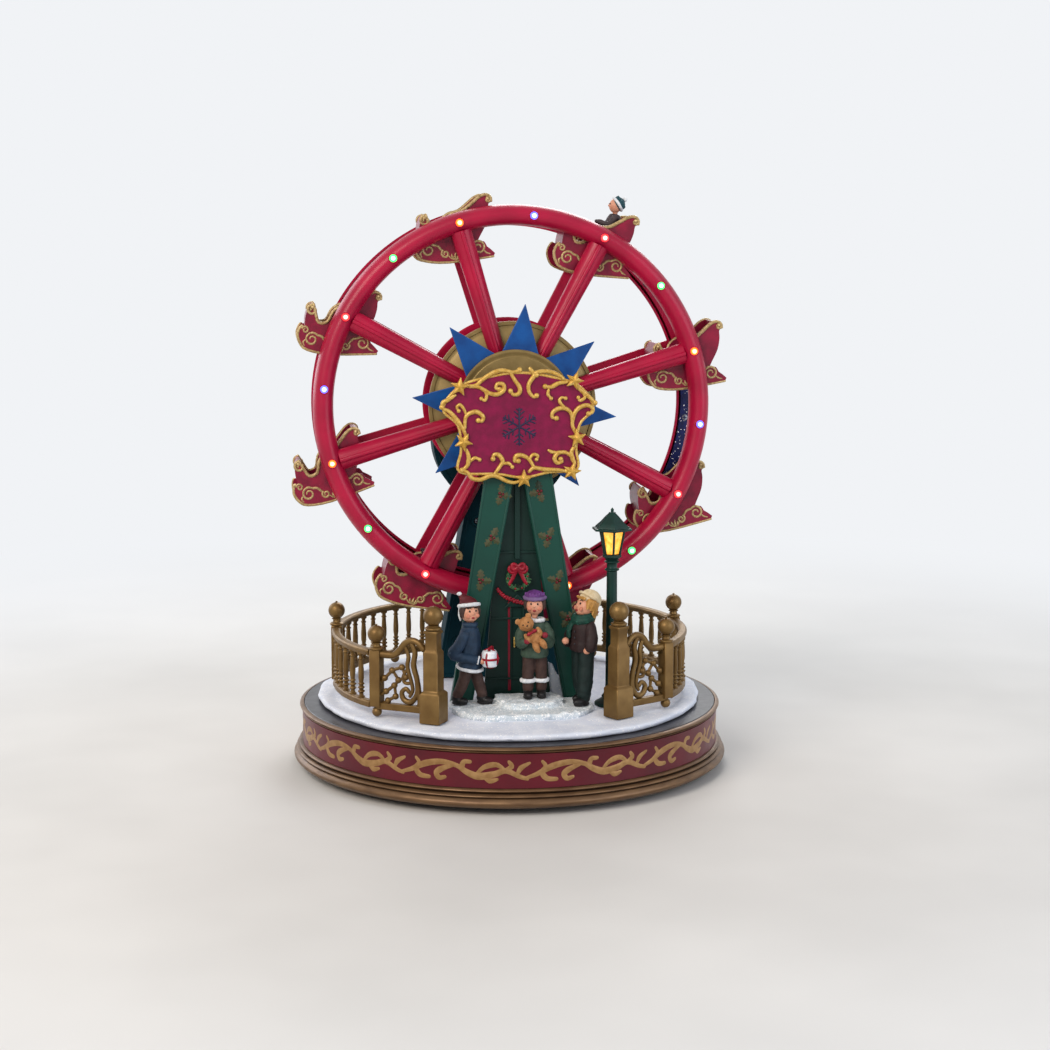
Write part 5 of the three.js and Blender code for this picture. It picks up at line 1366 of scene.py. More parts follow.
@dataclass
class FrontTower:
    """The A-shaped tower before the wheel, with holly, booth front and wreath."""

    front: float = TOWER_FACE
    thickness: float = 6.0
    foot_outer: float = 37.0
    foot_inner: float = 25.2
    head_inner: float = 2.6
    crotch: float = 162.0
    head_radius: float = 19.0
    wreath_radius: float = 5.4
    wreath_leaves: int = 84
    holly: tuple[Triple, ...] = ((-9.4, 153.6, 8), (-14.3, 130.6, 28), (-20.3, 107.6, 0), (-26.8, 84, 30),
                                 (11.2, 154.8, -8), (16.0, 130, 24), (21.2, 106.7, 18), (26.8, 86, 40))

    def build(self) -> None:
        """Builds every piece of the tower."""
        self.legs()
        self.reliefs()
        self.booth()
        self.wreath()

    def legs(self) -> None:
        """Builds both legs with a raised border."""
        head = arc(self.head_radius, -45, 225, 32, (0, HUB_HEIGHT))
        outline = [(-self.foot_outer, GROUND), (-self.foot_inner, GROUND), (-self.head_inner, self.crotch),
                   (self.head_inner, self.crotch), (self.foot_inner, GROUND), (self.foot_outer, GROUND), *head]
        body = prism(outline, self.front + 0.5, self.thickness - 0.5)
        for side in (-1, 1):
            edges = [((self.foot_outer - 0.8, GROUND + 0.4), (14.1, HUB_HEIGHT - 13.6)),
                     ((self.foot_inner + 0.8, GROUND + 0.4), (self.head_inner + 0.8, self.crotch + 1))]
            for low, high in edges:
                path = [(side * x, self.front + 0.75, z) for x, z in (low, high)]
                body.add(sweep(path, 0.8, 8, flat=0.9))
        piece("front_tower_legs", body, TEAL, "base", ["front_tower"], bevel=0.45)

    def reliefs(self) -> None:
        """Puts holly sprigs of three leaves and three berries on the legs."""
        leaves, berries = Shape(), Shape()
        for x, z, angle in self.holly:
            place = (turn(angle, "Y"), shift(x, self.front + 0.55, z))
            for lean, length in ((90, 6.4), (90 + math.copysign(94, x), 6.2), (90 + math.copysign(188, x), 6.0)):
                leaves.add(leaf(length, 2.5, 0.85).moved(turn(-lean, "Y"), *place))
            for a in (20, 140, 260):
                bx, bz = polar(1.05, a)
                berries.add(ball((0.8, 0.8, 0.8), (bx, -0.25, bz), 12, 8).moved(*place))
        piece("holly_leaves", leaves, HOLLY_GREEN, "base", angle=25)
        piece("holly_berries", berries, BERRY, "base")

    def booth(self) -> None:
        """Builds the ticket booth front behind the legs with rib, gable and a stripe."""
        front = self.front + self.thickness + 0.3
        sheet = prism([(-18.5, GROUND), (18.5, GROUND), (8, 165), (-8, 165)], front + 0.6, 1.9)
        rib = bar((-1.5, front - 1.2, 118), (1.5, front + 0.7, 165))
        sills = [bar((-w, front - 0.3, z), (w, front + 0.7, z + 1.2)) for w, z in ((17.2, 52), (14.4, 85), (11, 121))]
        gable = prism([(-6, 92), (6, 92), (0, 98.5)], front - 1.2, 2.4)
        roof = [sweep([(side * 6.4, front - 0.9, 91.8), (0, front - 0.9, 98.2)], 0.55, 6) for side in (-1, 1)]
        frame = [bar((side * 3.4 - 0.5, front - 0.5, GROUND + 13.4), (side * 3.4 + 0.5, front + 0.7, 91.6))
                 for side in (-1, 1)]
        piece("booth_sheet", Shape().add(sheet, rib, *sills, gable, *roof, *frame), DEEP_TEAL, "base",
              ["booth_panel"], bevel=0.25)
        strip = [(-5.0, 46), (-3.4, 46), (-3.4, 95), (-5.0, 95)]
        piece("booth_stripe", prism(strip, front + 0.1, 0.9), STRIPE, "base", bevel=0.15)
        drift = prism([(16.5, GROUND), (28, GROUND), (26, 45), (22.5, 53), (19.5, 59.5), (17, 60.5)], front + 1.9, 2.2)
        piece("booth_drift", rough_up(drift, 0.5, 0.4, 3.0), SNOW, "base", voxel=0.5, angle=70)
        handle = sweep([(-1.6, front - 0.4, 70), (-1.6, front - 0.4, 75)], 0.45, 8)
        piece("booth_handle", handle, FRAME_GOLD, "base")

    def wreath(self) -> None:
        """Builds the wreath of leaves with its bow and the loose garland."""
        draw = random.Random(7)
        green, red = Shape(), Shape()
        middle = Vector((0, self.front + self.thickness - 1.6, 107.5))
        radius = self.wreath_radius
        circle = [middle + Vector((radius * math.cos(a), 0, radius * math.sin(a))) for a in angles(40)]
        green.add(sweep(circle, 1.05, 8, closed=True))
        for i in range(self.wreath_leaves):
            a = 360 * i / self.wreath_leaves + draw.uniform(-3, 3)
            x, z = polar(radius + draw.uniform(-0.9, 0.7), a)
            green.add(leaf(draw.uniform(1.3, 1.9), 0.5, 0.3).moved(
                turn(draw.uniform(-60, 240) - a, "Y"), shift(x, draw.uniform(-1.3, -0.6), z), shift(*middle)))
        for i in range(9):
            x, z = polar(radius, 15 + 40 * i)
            red.add(ball((0.55, 0.55, 0.55), (x, middle.y - 1.2, middle.z + z), 10, 6))
        for side in (-1, 1):
            for rise, out in ((0, 1), (1.5, 0.72)):
                loop = [(0, 0), (side * 1.8, 1.3), (side * 4.2, 1.6), (side * 4.6, -0.2), (side * 3.0, -1.4), (0, 0)]
                path = [(x * out, middle.y - 1.2 - rise * 0.3, middle.z + 5.0 + z + rise) for x, z in loop]
                red.add(sweep(spline(path, 5), 0.95, 8, flat=0.8))
            tail = [(0, 0), (side * 1.7, -1.8), (side * 2.9, -4.6), (side * 4.6, -7.6)]
            path = [(x, middle.y - 1.1, middle.z + 5.0 + z) for x, z in tail]
            red.add(sweep(spline(path, 5), (0.7, 1.15, 1.0, 0.8), 8, flat=0.4))
        red.add(ball((0.95, 0.8, 0.95), (0, middle.y - 1.5, middle.z + 5.2), 14, 8))
        piece("wreath_leaves", green, WREATH_GREEN, "base", ["door_wreath"], angle=30)
        piece("wreath_bow", red, BOW_RED, "base", angle=50)
        swag = Shape()
        path = spline([(x, self.front + self.thickness - 0.9, z) for x, z in
                       ((-10.8, 101.9), (-8, 98.6), (-4.4, 96.6), (-0.4, 95), (3.8, 93.9))], 8)
        for i, p in enumerate(path):
            swag.add(ball((0.85, 0.8, 0.85), p + Vector((0, -0.3, 0.55 * math.sin(i * 2.3))), 10, 6))
        piece("booth_garland", swag, BOW_RED, "base")


@dataclass
class Sign:
    """The sign: red plaque, golden vine frame with stars, and a plain snowflake."""

    front: float = -43.8
    relief: float = -44.3
    left: float = -47.5
    top: float = 225.5
    across: float = 0.06434
    down: float = 0.06374
    half: Pair = (40.0, 26.0)
    middle: float = 191.0
    shares: tuple[Pair, ...] = ((-0.8, -0.96), (-0.3, -1.02), (0.06, -1.1), (0.4, -1), (0.78, -0.94), (0.77, -0.5),
                                (0.82, 0), (1, 0.35), (0.8, 0.8), (0.4, 1), (0, 1.08), (-0.4, 1), (-0.8, 0.8),
                                (-1.02, 0.35), (-0.82, 0), (-0.78, -0.5))
    stars: tuple[Triple, ...] = ((-31.6, 211.3, 8), (29.2, 214.1, 20), (30.8, 183.7, -6), (-29.6, 182.4, 30),
                                 (2.4, 162.4, 0), (28, 166, 14))

    def build(self) -> None:
        """Builds plaque, vines, stars and the snowflake."""
        outline = [(p.x, p.z) for p in spline([(x * self.half[0], self.middle + z * self.half[1])
                                               for x, z in self.shares], 5, closed=True)]
        piece("sign_field", prism(outline, self.front, 2.5), SIGN_RED, "base", ["sign_plaque"], bevel=0.5)
        self.vines()
        self.star_reliefs()
        self.snowflake()

    def strokes(self) -> list[tuple[list[Pair], float]]:
        """Lists the vines in the units of a flat drawing of the sign, each with the radius of its stroke.

        Returns:
            Points across and down from the drawing's upper left corner, and a radius in millimetres.
        """
        thick, thin = 1.1, 0.85
        return [
            ([(310, 215), (380, 210), (440, 160), (520, 110), (600, 90), (690, 105), (740, 85)], thick),
            ([(660, 100), (700, 170), (740, 230), (735, 280), (690, 290), (665, 260)], thick),
            ([(330, 220), (400, 225), (450, 250), (500, 280), (560, 285), (610, 250), (605, 205), (560, 200),
              (545, 235), (575, 245)], thick),
            ([(450, 255), (470, 290), (455, 335), (425, 320)], thin),
            ([(1100, 160), (1040, 120), (960, 100), (880, 110), (850, 150), (815, 210), (820, 270), (855, 310),
              (880, 300)], thick),
            ([(825, 75), (855, 115), (880, 130)], thick),
            ([(1130, 190), (1060, 200), (1000, 230), (950, 225)], thick),
            ([(980, 250), (975, 290), (1000, 325)], thin),
            ([(1200, 220), (1260, 270), (1320, 320), (1365, 365)], thick),
            ([(1270, 290), (1280, 320), (1240, 345), (1225, 320)], thin),
            ([(1220, 640), (1180, 560), (1180, 500), (1200, 440), (1240, 400), (1300, 385), (1345, 410), (1340, 445),
              (1310, 455)], thick),
            ([(1175, 510), (1165, 450), (1120, 410), (1060, 410), (1015, 440), (1010, 480), (1045, 490)], thick),
            ([(1150, 430), (1100, 390), (1070, 350), (1085, 320), (1120, 325)], thin),
            ([(1200, 720), (1170, 770), (1180, 830), (1195, 870), (1180, 920)], thick),
            ([(1170, 810), (1120, 775), (1060, 780), (1030, 820), (1050, 860), (1090, 850), (1080, 830)], thick),
            ([(980, 755), (1010, 770), (1060, 775)], thin),
            ([(210, 290), (150, 330), (112, 350), (102, 388)], thick),
            ([(110, 400), (170, 430), (230, 500), (280, 580), (300, 640)], thick),
            ([(290, 560), (295, 480), (330, 440), (390, 430), (440, 470), (430, 505), (400, 500)], thick),
            ([(300, 450), (280, 400), (250, 370), (225, 390), (240, 420)], thin),
            ([(300, 740), (320, 800), (310, 870), (265, 910)], thick),
            ([(330, 840), (370, 810), (410, 825)], thin),
            ([(265, 915), (310, 930), (350, 980), (420, 990), (500, 960), (560, 970), (640, 1010), (700, 1020),
              (760, 1000)], thick),
            ([(530, 950), (580, 880), (600, 840), (570, 790), (530, 785), (520, 820)], thick),
            ([(600, 860), (650, 860), (680, 890)], thin),
            ([(820, 930), (860, 900), (950, 915), (1050, 920), (1130, 930)], thick),
            ([(860, 900), (820, 830), (760, 795), (710, 800), (700, 840), (730, 840)], thick),
            ([(820, 830), (850, 790), (890, 800), (880, 830)], thin),
        ]

    def spot(self, point: Pair, depth: float = 0.0) -> Vector:
        """Puts a point of the drawing on the sign."""
        return Vector((self.left + self.across * point[0], self.relief + depth, self.top - self.down * point[1]))

    def vines(self) -> None:
        """Sweeps every vine and puts a small ball on its loose end."""
        shape = Shape()
        for points, radius in self.strokes():
            path = spline([self.spot(p) for p in points], 5)
            shape.add(sweep(path, (radius * 0.8, radius, radius * 1.15, radius * 0.95, radius * 0.7), 10, flat=0.95))
            end = self.spot(points[-1], -0.1)
            shape.add(ball((radius * 1.25, radius * 1.05, radius * 1.25), end, 14, 10))
        lip = [(p.x, p.z) for p in spline([(x * (self.half[0] - 0.6), self.middle + z * (self.half[1] - 0.6))
                                           for x, z in self.shares], 6, closed=True)]
        rim = [(x, self.front + 0.3, z) for x, z in lip]
        shape.add(sweep(rim, 0.8, 8, closed=True))
        piece("sign_vines", shape, FRAME_GOLD, "base", ["sign_frame"], angle=60)

    def star_reliefs(self) -> None:
        """Puts five-pointed stars with ridges on the frame."""
        shape = Shape()
        for x, z, angle in self.stars:
            outline = [polar(5.2 if i % 2 == 0 else 2.3, 90 + 36 * i) for i in range(10)]
            star = Shape()
            tip = star.ring([(0, self.relief - 2.9, 0)])
            near, far = (star.ring((a, self.relief + y, b) for a, b in outline) for y in (-1.6, 0.6))
            star.loft([tip, near, far])
            star.face(reversed(far))
            shape.add(star.moved(turn(angle, "Y"), shift(x, 0, z)))
        piece("sign_stars", shape, FRAME_GOLD, "base", bevel=0.25, angle=20)

    def snowflake(self) -> None:
        """Puts a plain snowflake on the middle of the plaque."""
        shape = Shape()
        y = self.front + 0.1
        for k in range(6):
            arm = Shape()
            arm.add(sweep([(0, y, 0), (0, y, 9.6)], 0.55, 8))
            for height, reach in ((3.6, 2.0), (6.0, 2.6), (8.2, 1.4)):
                for side in (-1, 1):
                    arm.add(sweep([(0, y, height), (side * reach, y, height + reach * 0.8)], 0.42, 8))
            shape.add(arm.moved(turn(60 * k, "Y"), shift(0, 0, self.middle - 1)))
        piece("sign_snowflake", shape, SIGN_INK, "base")


@dataclass
class RearTower:
    """The hollow tower behind the wheel that holds the motor."""

    front: float = 30.5
    depth: float = 19.5
    cover: float = 50.3
    cover_thickness: float = 2.0
    foot_half: float = 38.0
    neck_half: float = 20.5
    neck_height: float = 141.0
    head_radius: float = 39.2
    head_drop: float = 23.3
    wall: float = 2.0
    bosses: tuple[Pair, ...] = ((-14.5, 129.5), (14.5, 129.5), (-26, 60), (26, 60))
    screws: tuple[Pair, ...] = ((0, 232), (-33, 205), (33, 205), (-18, 143), (18, 143), (-33, 48), (33, 48))

    def outline(self, inset: float) -> list[Pair]:
        """The tower's outline, taken in by a margin."""
        radius, low = self.head_radius - inset, (0, HUB_HEIGHT - self.head_drop)
        head = [*arc(radius, -58, 0, 12, low), *arc(radius, 0, 180, 36, (0, HUB_HEIGHT)),
                *arc(radius, 180, 238, 12, low)]
        return [(-self.foot_half + inset, GROUND + inset), (self.foot_half - inset, GROUND + inset),
                (self.neck_half - inset, self.neck_height), *head, (-self.neck_half + inset, self.neck_height)]

    def build(self) -> None:
        """Builds shell, cover, screws and what is inside."""
        cavity = prism(self.outline(self.wall), self.front + self.wall, self.depth)
        bore = lathe([(0, -3), (3.4, -3), (3.4, 6), (0, 6)], 32)
        bore = bore.moved(turn(-90, "X"), shift(0, self.front, HUB_HEIGHT))
        shell = carved(prism(self.outline(0), self.front, self.depth), cavity, bore)
        piece("rear_shell", shell, REAR_TEAL, "base", ["rear_tower_shell"], bevel=0.8, angle=30)
        face = Shape()
        rim = [(x, self.front + 0.3, z) for x, z in self.outline(2.4)]
        face.add(sweep(rim, 0.7, 8, closed=True))
        for x, z in self.bosses:
            boss = lathe([(0, 0), (3.4, 0), (3.2, 1.1), (2.2, 1.1), (2.2, 0.5), (0, 0.5)], 32)
            face.add(boss.moved(turn(90, "X"), shift(x, self.front, z)))
        piece("rear_shell_trim", face, REAR_TEAL, "base")
        back = prism(self.outline(0), self.cover, self.cover_thickness - 0.4)
        slots = [bar((-11, self.cover + 1.2, z), (11, self.cover + 2, z + 1.6)) for z in range(60, 96, 4)]
        piece("rear_cover_plate", back.add(*slots), REAR_TEAL, "base", ["rear_tower_cover"], bevel=0.5, angle=30)
        heads = Shape()
        for x, z in self.screws:
            heads.add(screw(2.3, 1.0).moved(turn(-90, "X"), shift(x, self.cover + self.cover_thickness - 0.5, z)))
        for x, z in self.bosses:
            heads.add(screw(1.9, 0.9).moved(turn(90, "X"), shift(x, self.front - 0.3, z)))
        piece("rear_cover_screws", heads, Metal.SCREW, "base")
        dress(Metal.STEEL, "gear_motor")
        dress(BLACK, "brush_block")
        dress(IVORY, "motor_pinion")


# Wheel

def about_axle(profile: Sequence[Pair], segments: int = 144) -> Shape:
    """Turns a profile of radius and Y about the wheel's axle."""
    return lathe(profile, segments).moved(turn(-90, "X"), shift(0, 0, HUB_HEIGHT))


@dataclass
class Wheel:
    """Rims, spokes, lights, discs, star, cap, axle and drive."""

    rim_half: float = 5.5
    rim_depth: float = 8.0
    rim_wall: float = 1.3
    plane: float = 16.0
    channel_half: float = 2.8
    spoke_ends: Pair = (6.5, 97.6)
    spoke_halves: Pair = (3.9, 5.6)
    spoke_depth: float = 7.0
    boss: float = 13.0
    light_radius: float = 2.0
    star_radii: Pair = (55.5, 28.5)
    star_turn: float = 5.9

    def build(self) -> None:
        """Builds every piece of the wheel."""
        self.side(-1, "front")
        self.side(1, "rear")
        self.lights()
        self.discs()
        self.star()
        self.axle()

    def at(self, angle: float, radius: float = 0.0) -> tuple[Matrix, ...]:
        """Moves a shape drawn about the hub to a radius above it and turns it clockwise."""
        return shift(0, 0, radius), turn(angle, "Y"), shift(0, 0, HUB_HEIGHT)

    @property
    def arms(self) -> list[float]:
        """Angles of the eight arms, clockwise from the top."""
        return [WHEEL_TURN + 360 / ARMS * i for i in range(ARMS)]

    def spoke(self, side: int) -> Shape:
        """Makes one spoke with a bright ridge along its face, pointing up from the hub."""
        section = [(-1, 0), (-1, 0.34), (-0.86, 0.56), (-0.5, 0.8), (-0.2, 0.87), (-0.14, 1), (0.14, 1), (0.2, 0.87),
                   (0.5, 0.8), (0.86, 0.56), (1, 0.34), (1, 0)]
        shape = Shape()
        rows = []
        for i in range(9):
            share = i / 8
            half = self.spoke_halves[0] + (self.spoke_halves[1] - self.spoke_halves[0]) * share
            z = self.spoke_ends[0] + (self.spoke_ends[1] - self.spoke_ends[0]) * share
            rows.append(shape.ring((x * half, side * (self.plane + self.spoke_depth * y), z) for x, y in section))
        return shape.loft(rows, capped=True)

    def side(self, side: int, word: str) -> None:
        """Builds one rim with its spokes, boss, bridges and, behind, the pins.

        Args:
            side: -1 for the front, 1 for the rear.
            word: The side's word in the names.
        """
        lip = side * self.plane
        outer = [(LED_CIRCLE - self.rim_half * math.cos(a), lip + side * self.rim_depth * math.sin(a))
                 for a in (math.pi * i / 14 for i in range(15))]
        inner = [(LED_CIRCLE - (self.rim_half - self.rim_wall) * math.cos(a),
                  lip + side * (self.rim_depth - self.rim_wall) * math.sin(a))
                 for a in (math.pi * i / 8 for i in range(9))][::-1]
        ring = about_axle([*outer, *inner, outer[0]], 160)
        piece(f"{word}_rim_band", ring, CRIMSON, "wheel", [f"{word}_rim"], angle=50)
        arms = Shape()
        face = lip + side * 8
        boss = [(0, lip), (self.boss, lip), (self.boss, lip + side * 6.6), (self.boss - 1.2, face), (0, face)]
        arms.add(about_axle(boss, 64), *(self.spoke(side).moved(*self.at(angle)) for angle in self.arms))
        piece(f"{word}_spokes", arms, CRIMSON, "wheel", bevel=0.35, angle=24)
        bridges = Shape()
        plate = bar((-4.7, lip - 0.6, -5.1), (4.7, lip + 0.6, 5.1))
        eye = lathe([(0, 0), (3.2, 0), (3.0, 1.4), (1.9, 1.4), (1.9, 0.4), (0, 0.4)], 24)
        eye = eye.moved(turn(90 * side, "X"), shift(0, side * 15.6, 0))
        for angle in self.arms:
            bridges.add(*(part.moved(*self.at(angle, LED_CIRCLE)) for part in (plate, eye)))
        piece(f"{word}_bridges", bridges, CRIMSON, "wheel", bevel=0.25)
        near = side * (self.plane + 0.9)
        far = near + side * 1.2
        low, high = LED_CIRCLE - self.channel_half, LED_CIRCLE + self.channel_half
        strip = about_axle([(low, near), (high, near), (high, far), (low, far), (low, near)], 128)
        finish, node = (CHANNEL, "front_led_ring") if side < 0 else (CRIMSON, "rear_wiring_ring")
        piece(f"{word}_channel_strip", strip, finish, "wheel", [node], bevel=0.15)
        if side > 0:
            self.bare_sector(far)
        heads = Shape()
        for angle in self.arms:
            head = screw(1.9, 0.8).moved(turn(90 * side, "X"), shift(0, side * (self.plane + 0.95), 0))
            heads.add(head.moved(*self.at(angle + LIGHT_STEP, LED_CIRCLE)))
        piece(f"{word}_channel_screws", heads, Metal.SCREW, "wheel")
        if side > 0:
            pins = Shape()
            pin = lathe([(0, -15.1), (1.3, -15.1), (1.6, -14.8), (1.6, 15.8), (0, 15.8)], 24)
            pin = pin.moved(turn(-90, "X"))
            for angle in self.arms:
                pins.add(pin.moved(*self.at(angle, LED_CIRCLE)))
            piece("gondola_pins", pins, Metal.STEEL, "wheel")

    def bare_sector(self, front: float) -> None:
        """Lays the one blue length of the rear channel between the second arm and the third."""
        turns = [self.arms[1] + (self.arms[2] - self.arms[1]) * i / 24 for i in range(25)]
        arcs = [polar(LED_CIRCLE + reach, 90 - a, (0, HUB_HEIGHT)) for reach, side in
                ((self.channel_half + 0.2, turns), (-self.channel_half - 0.2, turns[::-1])) for a in side]
        piece("rear_blue_length", prism(arcs, self.plane + 0.5, front - self.plane - 0.3), CHANNEL, "wheel",
              bevel=0.1)

    def lights(self) -> None:
        """Builds the sixteen domes with a collar each, one piece a colour."""
        dome = lathe([(0, -1.6), (self.light_radius, -1.6), (self.light_radius, 0.1),
                      *((self.light_radius * math.cos(a), 0.1 + 1.05 * math.sin(a)) for a in
                        (math.pi / 2 * i / 6 for i in range(1, 6))), (0, 1.15)], 20)
        core = ball((1.15, 1.15, 0.4), (0, 0, 1.0), 14, 8)
        places = [(turn(90, "X"), shift(0, -self.plane - self.rim_depth, 0),
                   *self.at(WHEEL_TURN + LIGHT_STEP * i, LED_CIRCLE)) for i in range(2 * ARMS)]
        for number, (name, finishes) in enumerate(LIGHTS.items()):
            for kind, part, finish in zip(("domes", "cores"), (dome, core), finishes):
                lit = Shape().add(*(part.moved(*steps) for steps in places[number::len(LIGHTS)]))
                piece(f"led_{kind}_{name}", lit, finish, "wheel")
        ring = lathe([(2.0, -0.8), (2.6, -0.8), (2.55, 0.15), (2.3, 0.35), (2.0, 0.2), (2.0, -0.8)], 24)
        piece("led_collars", Shape().add(*(ring.moved(*steps) for steps in places)), CRIMSON, "wheel")

    def discs(self) -> None:
        """Builds the gold disc, the red rear disc and the gold cap."""
        gold = [(3.2, -13.7), (45.5, -13.7), (45.5, -15.2), (45.0, -15.7), (43.6, -15.7), (43.2, -15.3), (41.4, -15.3),
                (41.0, -15.6), (15, -15.6), (3.2, -15.6), (3.2, -13.7)]
        piece("gold_disc", about_axle(gold), DISC_GOLD, "wheel", ["front_hub_disc"])
        red = [(3.2, 15.7), (45.9, 15.7), (46.5, 15.2), (46.5, 14.2), (45.9, 13.7), (43, 13.7), (42.4, 14.1),
               (12, 14.1), (3.2, 14.1), (3.2, 15.7)]
        piece("red_disc", about_axle(red), CRIMSON, "wheel", ["rear_hub_disc"])
        cap = [(3.2, -26.1), (31, -26.1), (31, -27.5), (30.6, -28.0), (29.6, -28.1), (28.9, -27.7), (27.6, -27.6),
               (27.1, -28.0), (8, -28.0), (7.4, -27.5), (3.2, -27.5), (3.2, -26.1)]
        piece("gold_cap", about_axle(cap), DISC_GOLD, "wheel", ["hub_cap"])

    def star(self) -> None:
        """Builds the flat star with eight tips."""
        outline = [polar(self.star_radii[i % 2], 90 - self.star_turn - LIGHT_STEP * i, (0, HUB_HEIGHT))
                   for i in range(2 * ARMS)]
        piece("blue_star", prism(outline, -25.8, 1.5), STAR_BLUE, "wheel", ["hub_star"], bevel=0.45, angle=25)

    def axle(self) -> None:
        """Builds the axle with its spacer, the gear and the slip ring."""
        shaft = [(0, -38.6), (2.6, -38.6), (3, -38.2), (3, -13.4), (9, -13.4), (9, 13.4), (3, 13.4), (3, 46.6),
                 (2.6, 47), (0, 47)]
        piece("steel_axle", about_axle(shaft, 48), Metal.STEEL, "wheel", ["wheel_axle"], angle=30)
        dress(IVORY, "drive_gear")
        dress(Metal.CELL, "slip_ring")


# Gondolas

def curl(middle: Pair, radius: float, start: float, turns: float, tight: float = 0.3, steps: int = 14) -> list[Pair]:
    """Points of a spiral that winds inwards.

    Args:
        middle: Its middle.
        radius: Radius at its outer end.
        start: Angle of its outer end in degrees.
        turns: Turns, negative for clockwise.
        tight: Inner radius as a share of the outer one.
        steps: Number of steps.

    Returns:
        Points from the outer end to the inner one.
    """
    return [polar(radius * (1 - (1 - tight) * i / steps), start + 360 * turns * i / steps, middle)
            for i in range(steps + 1)]


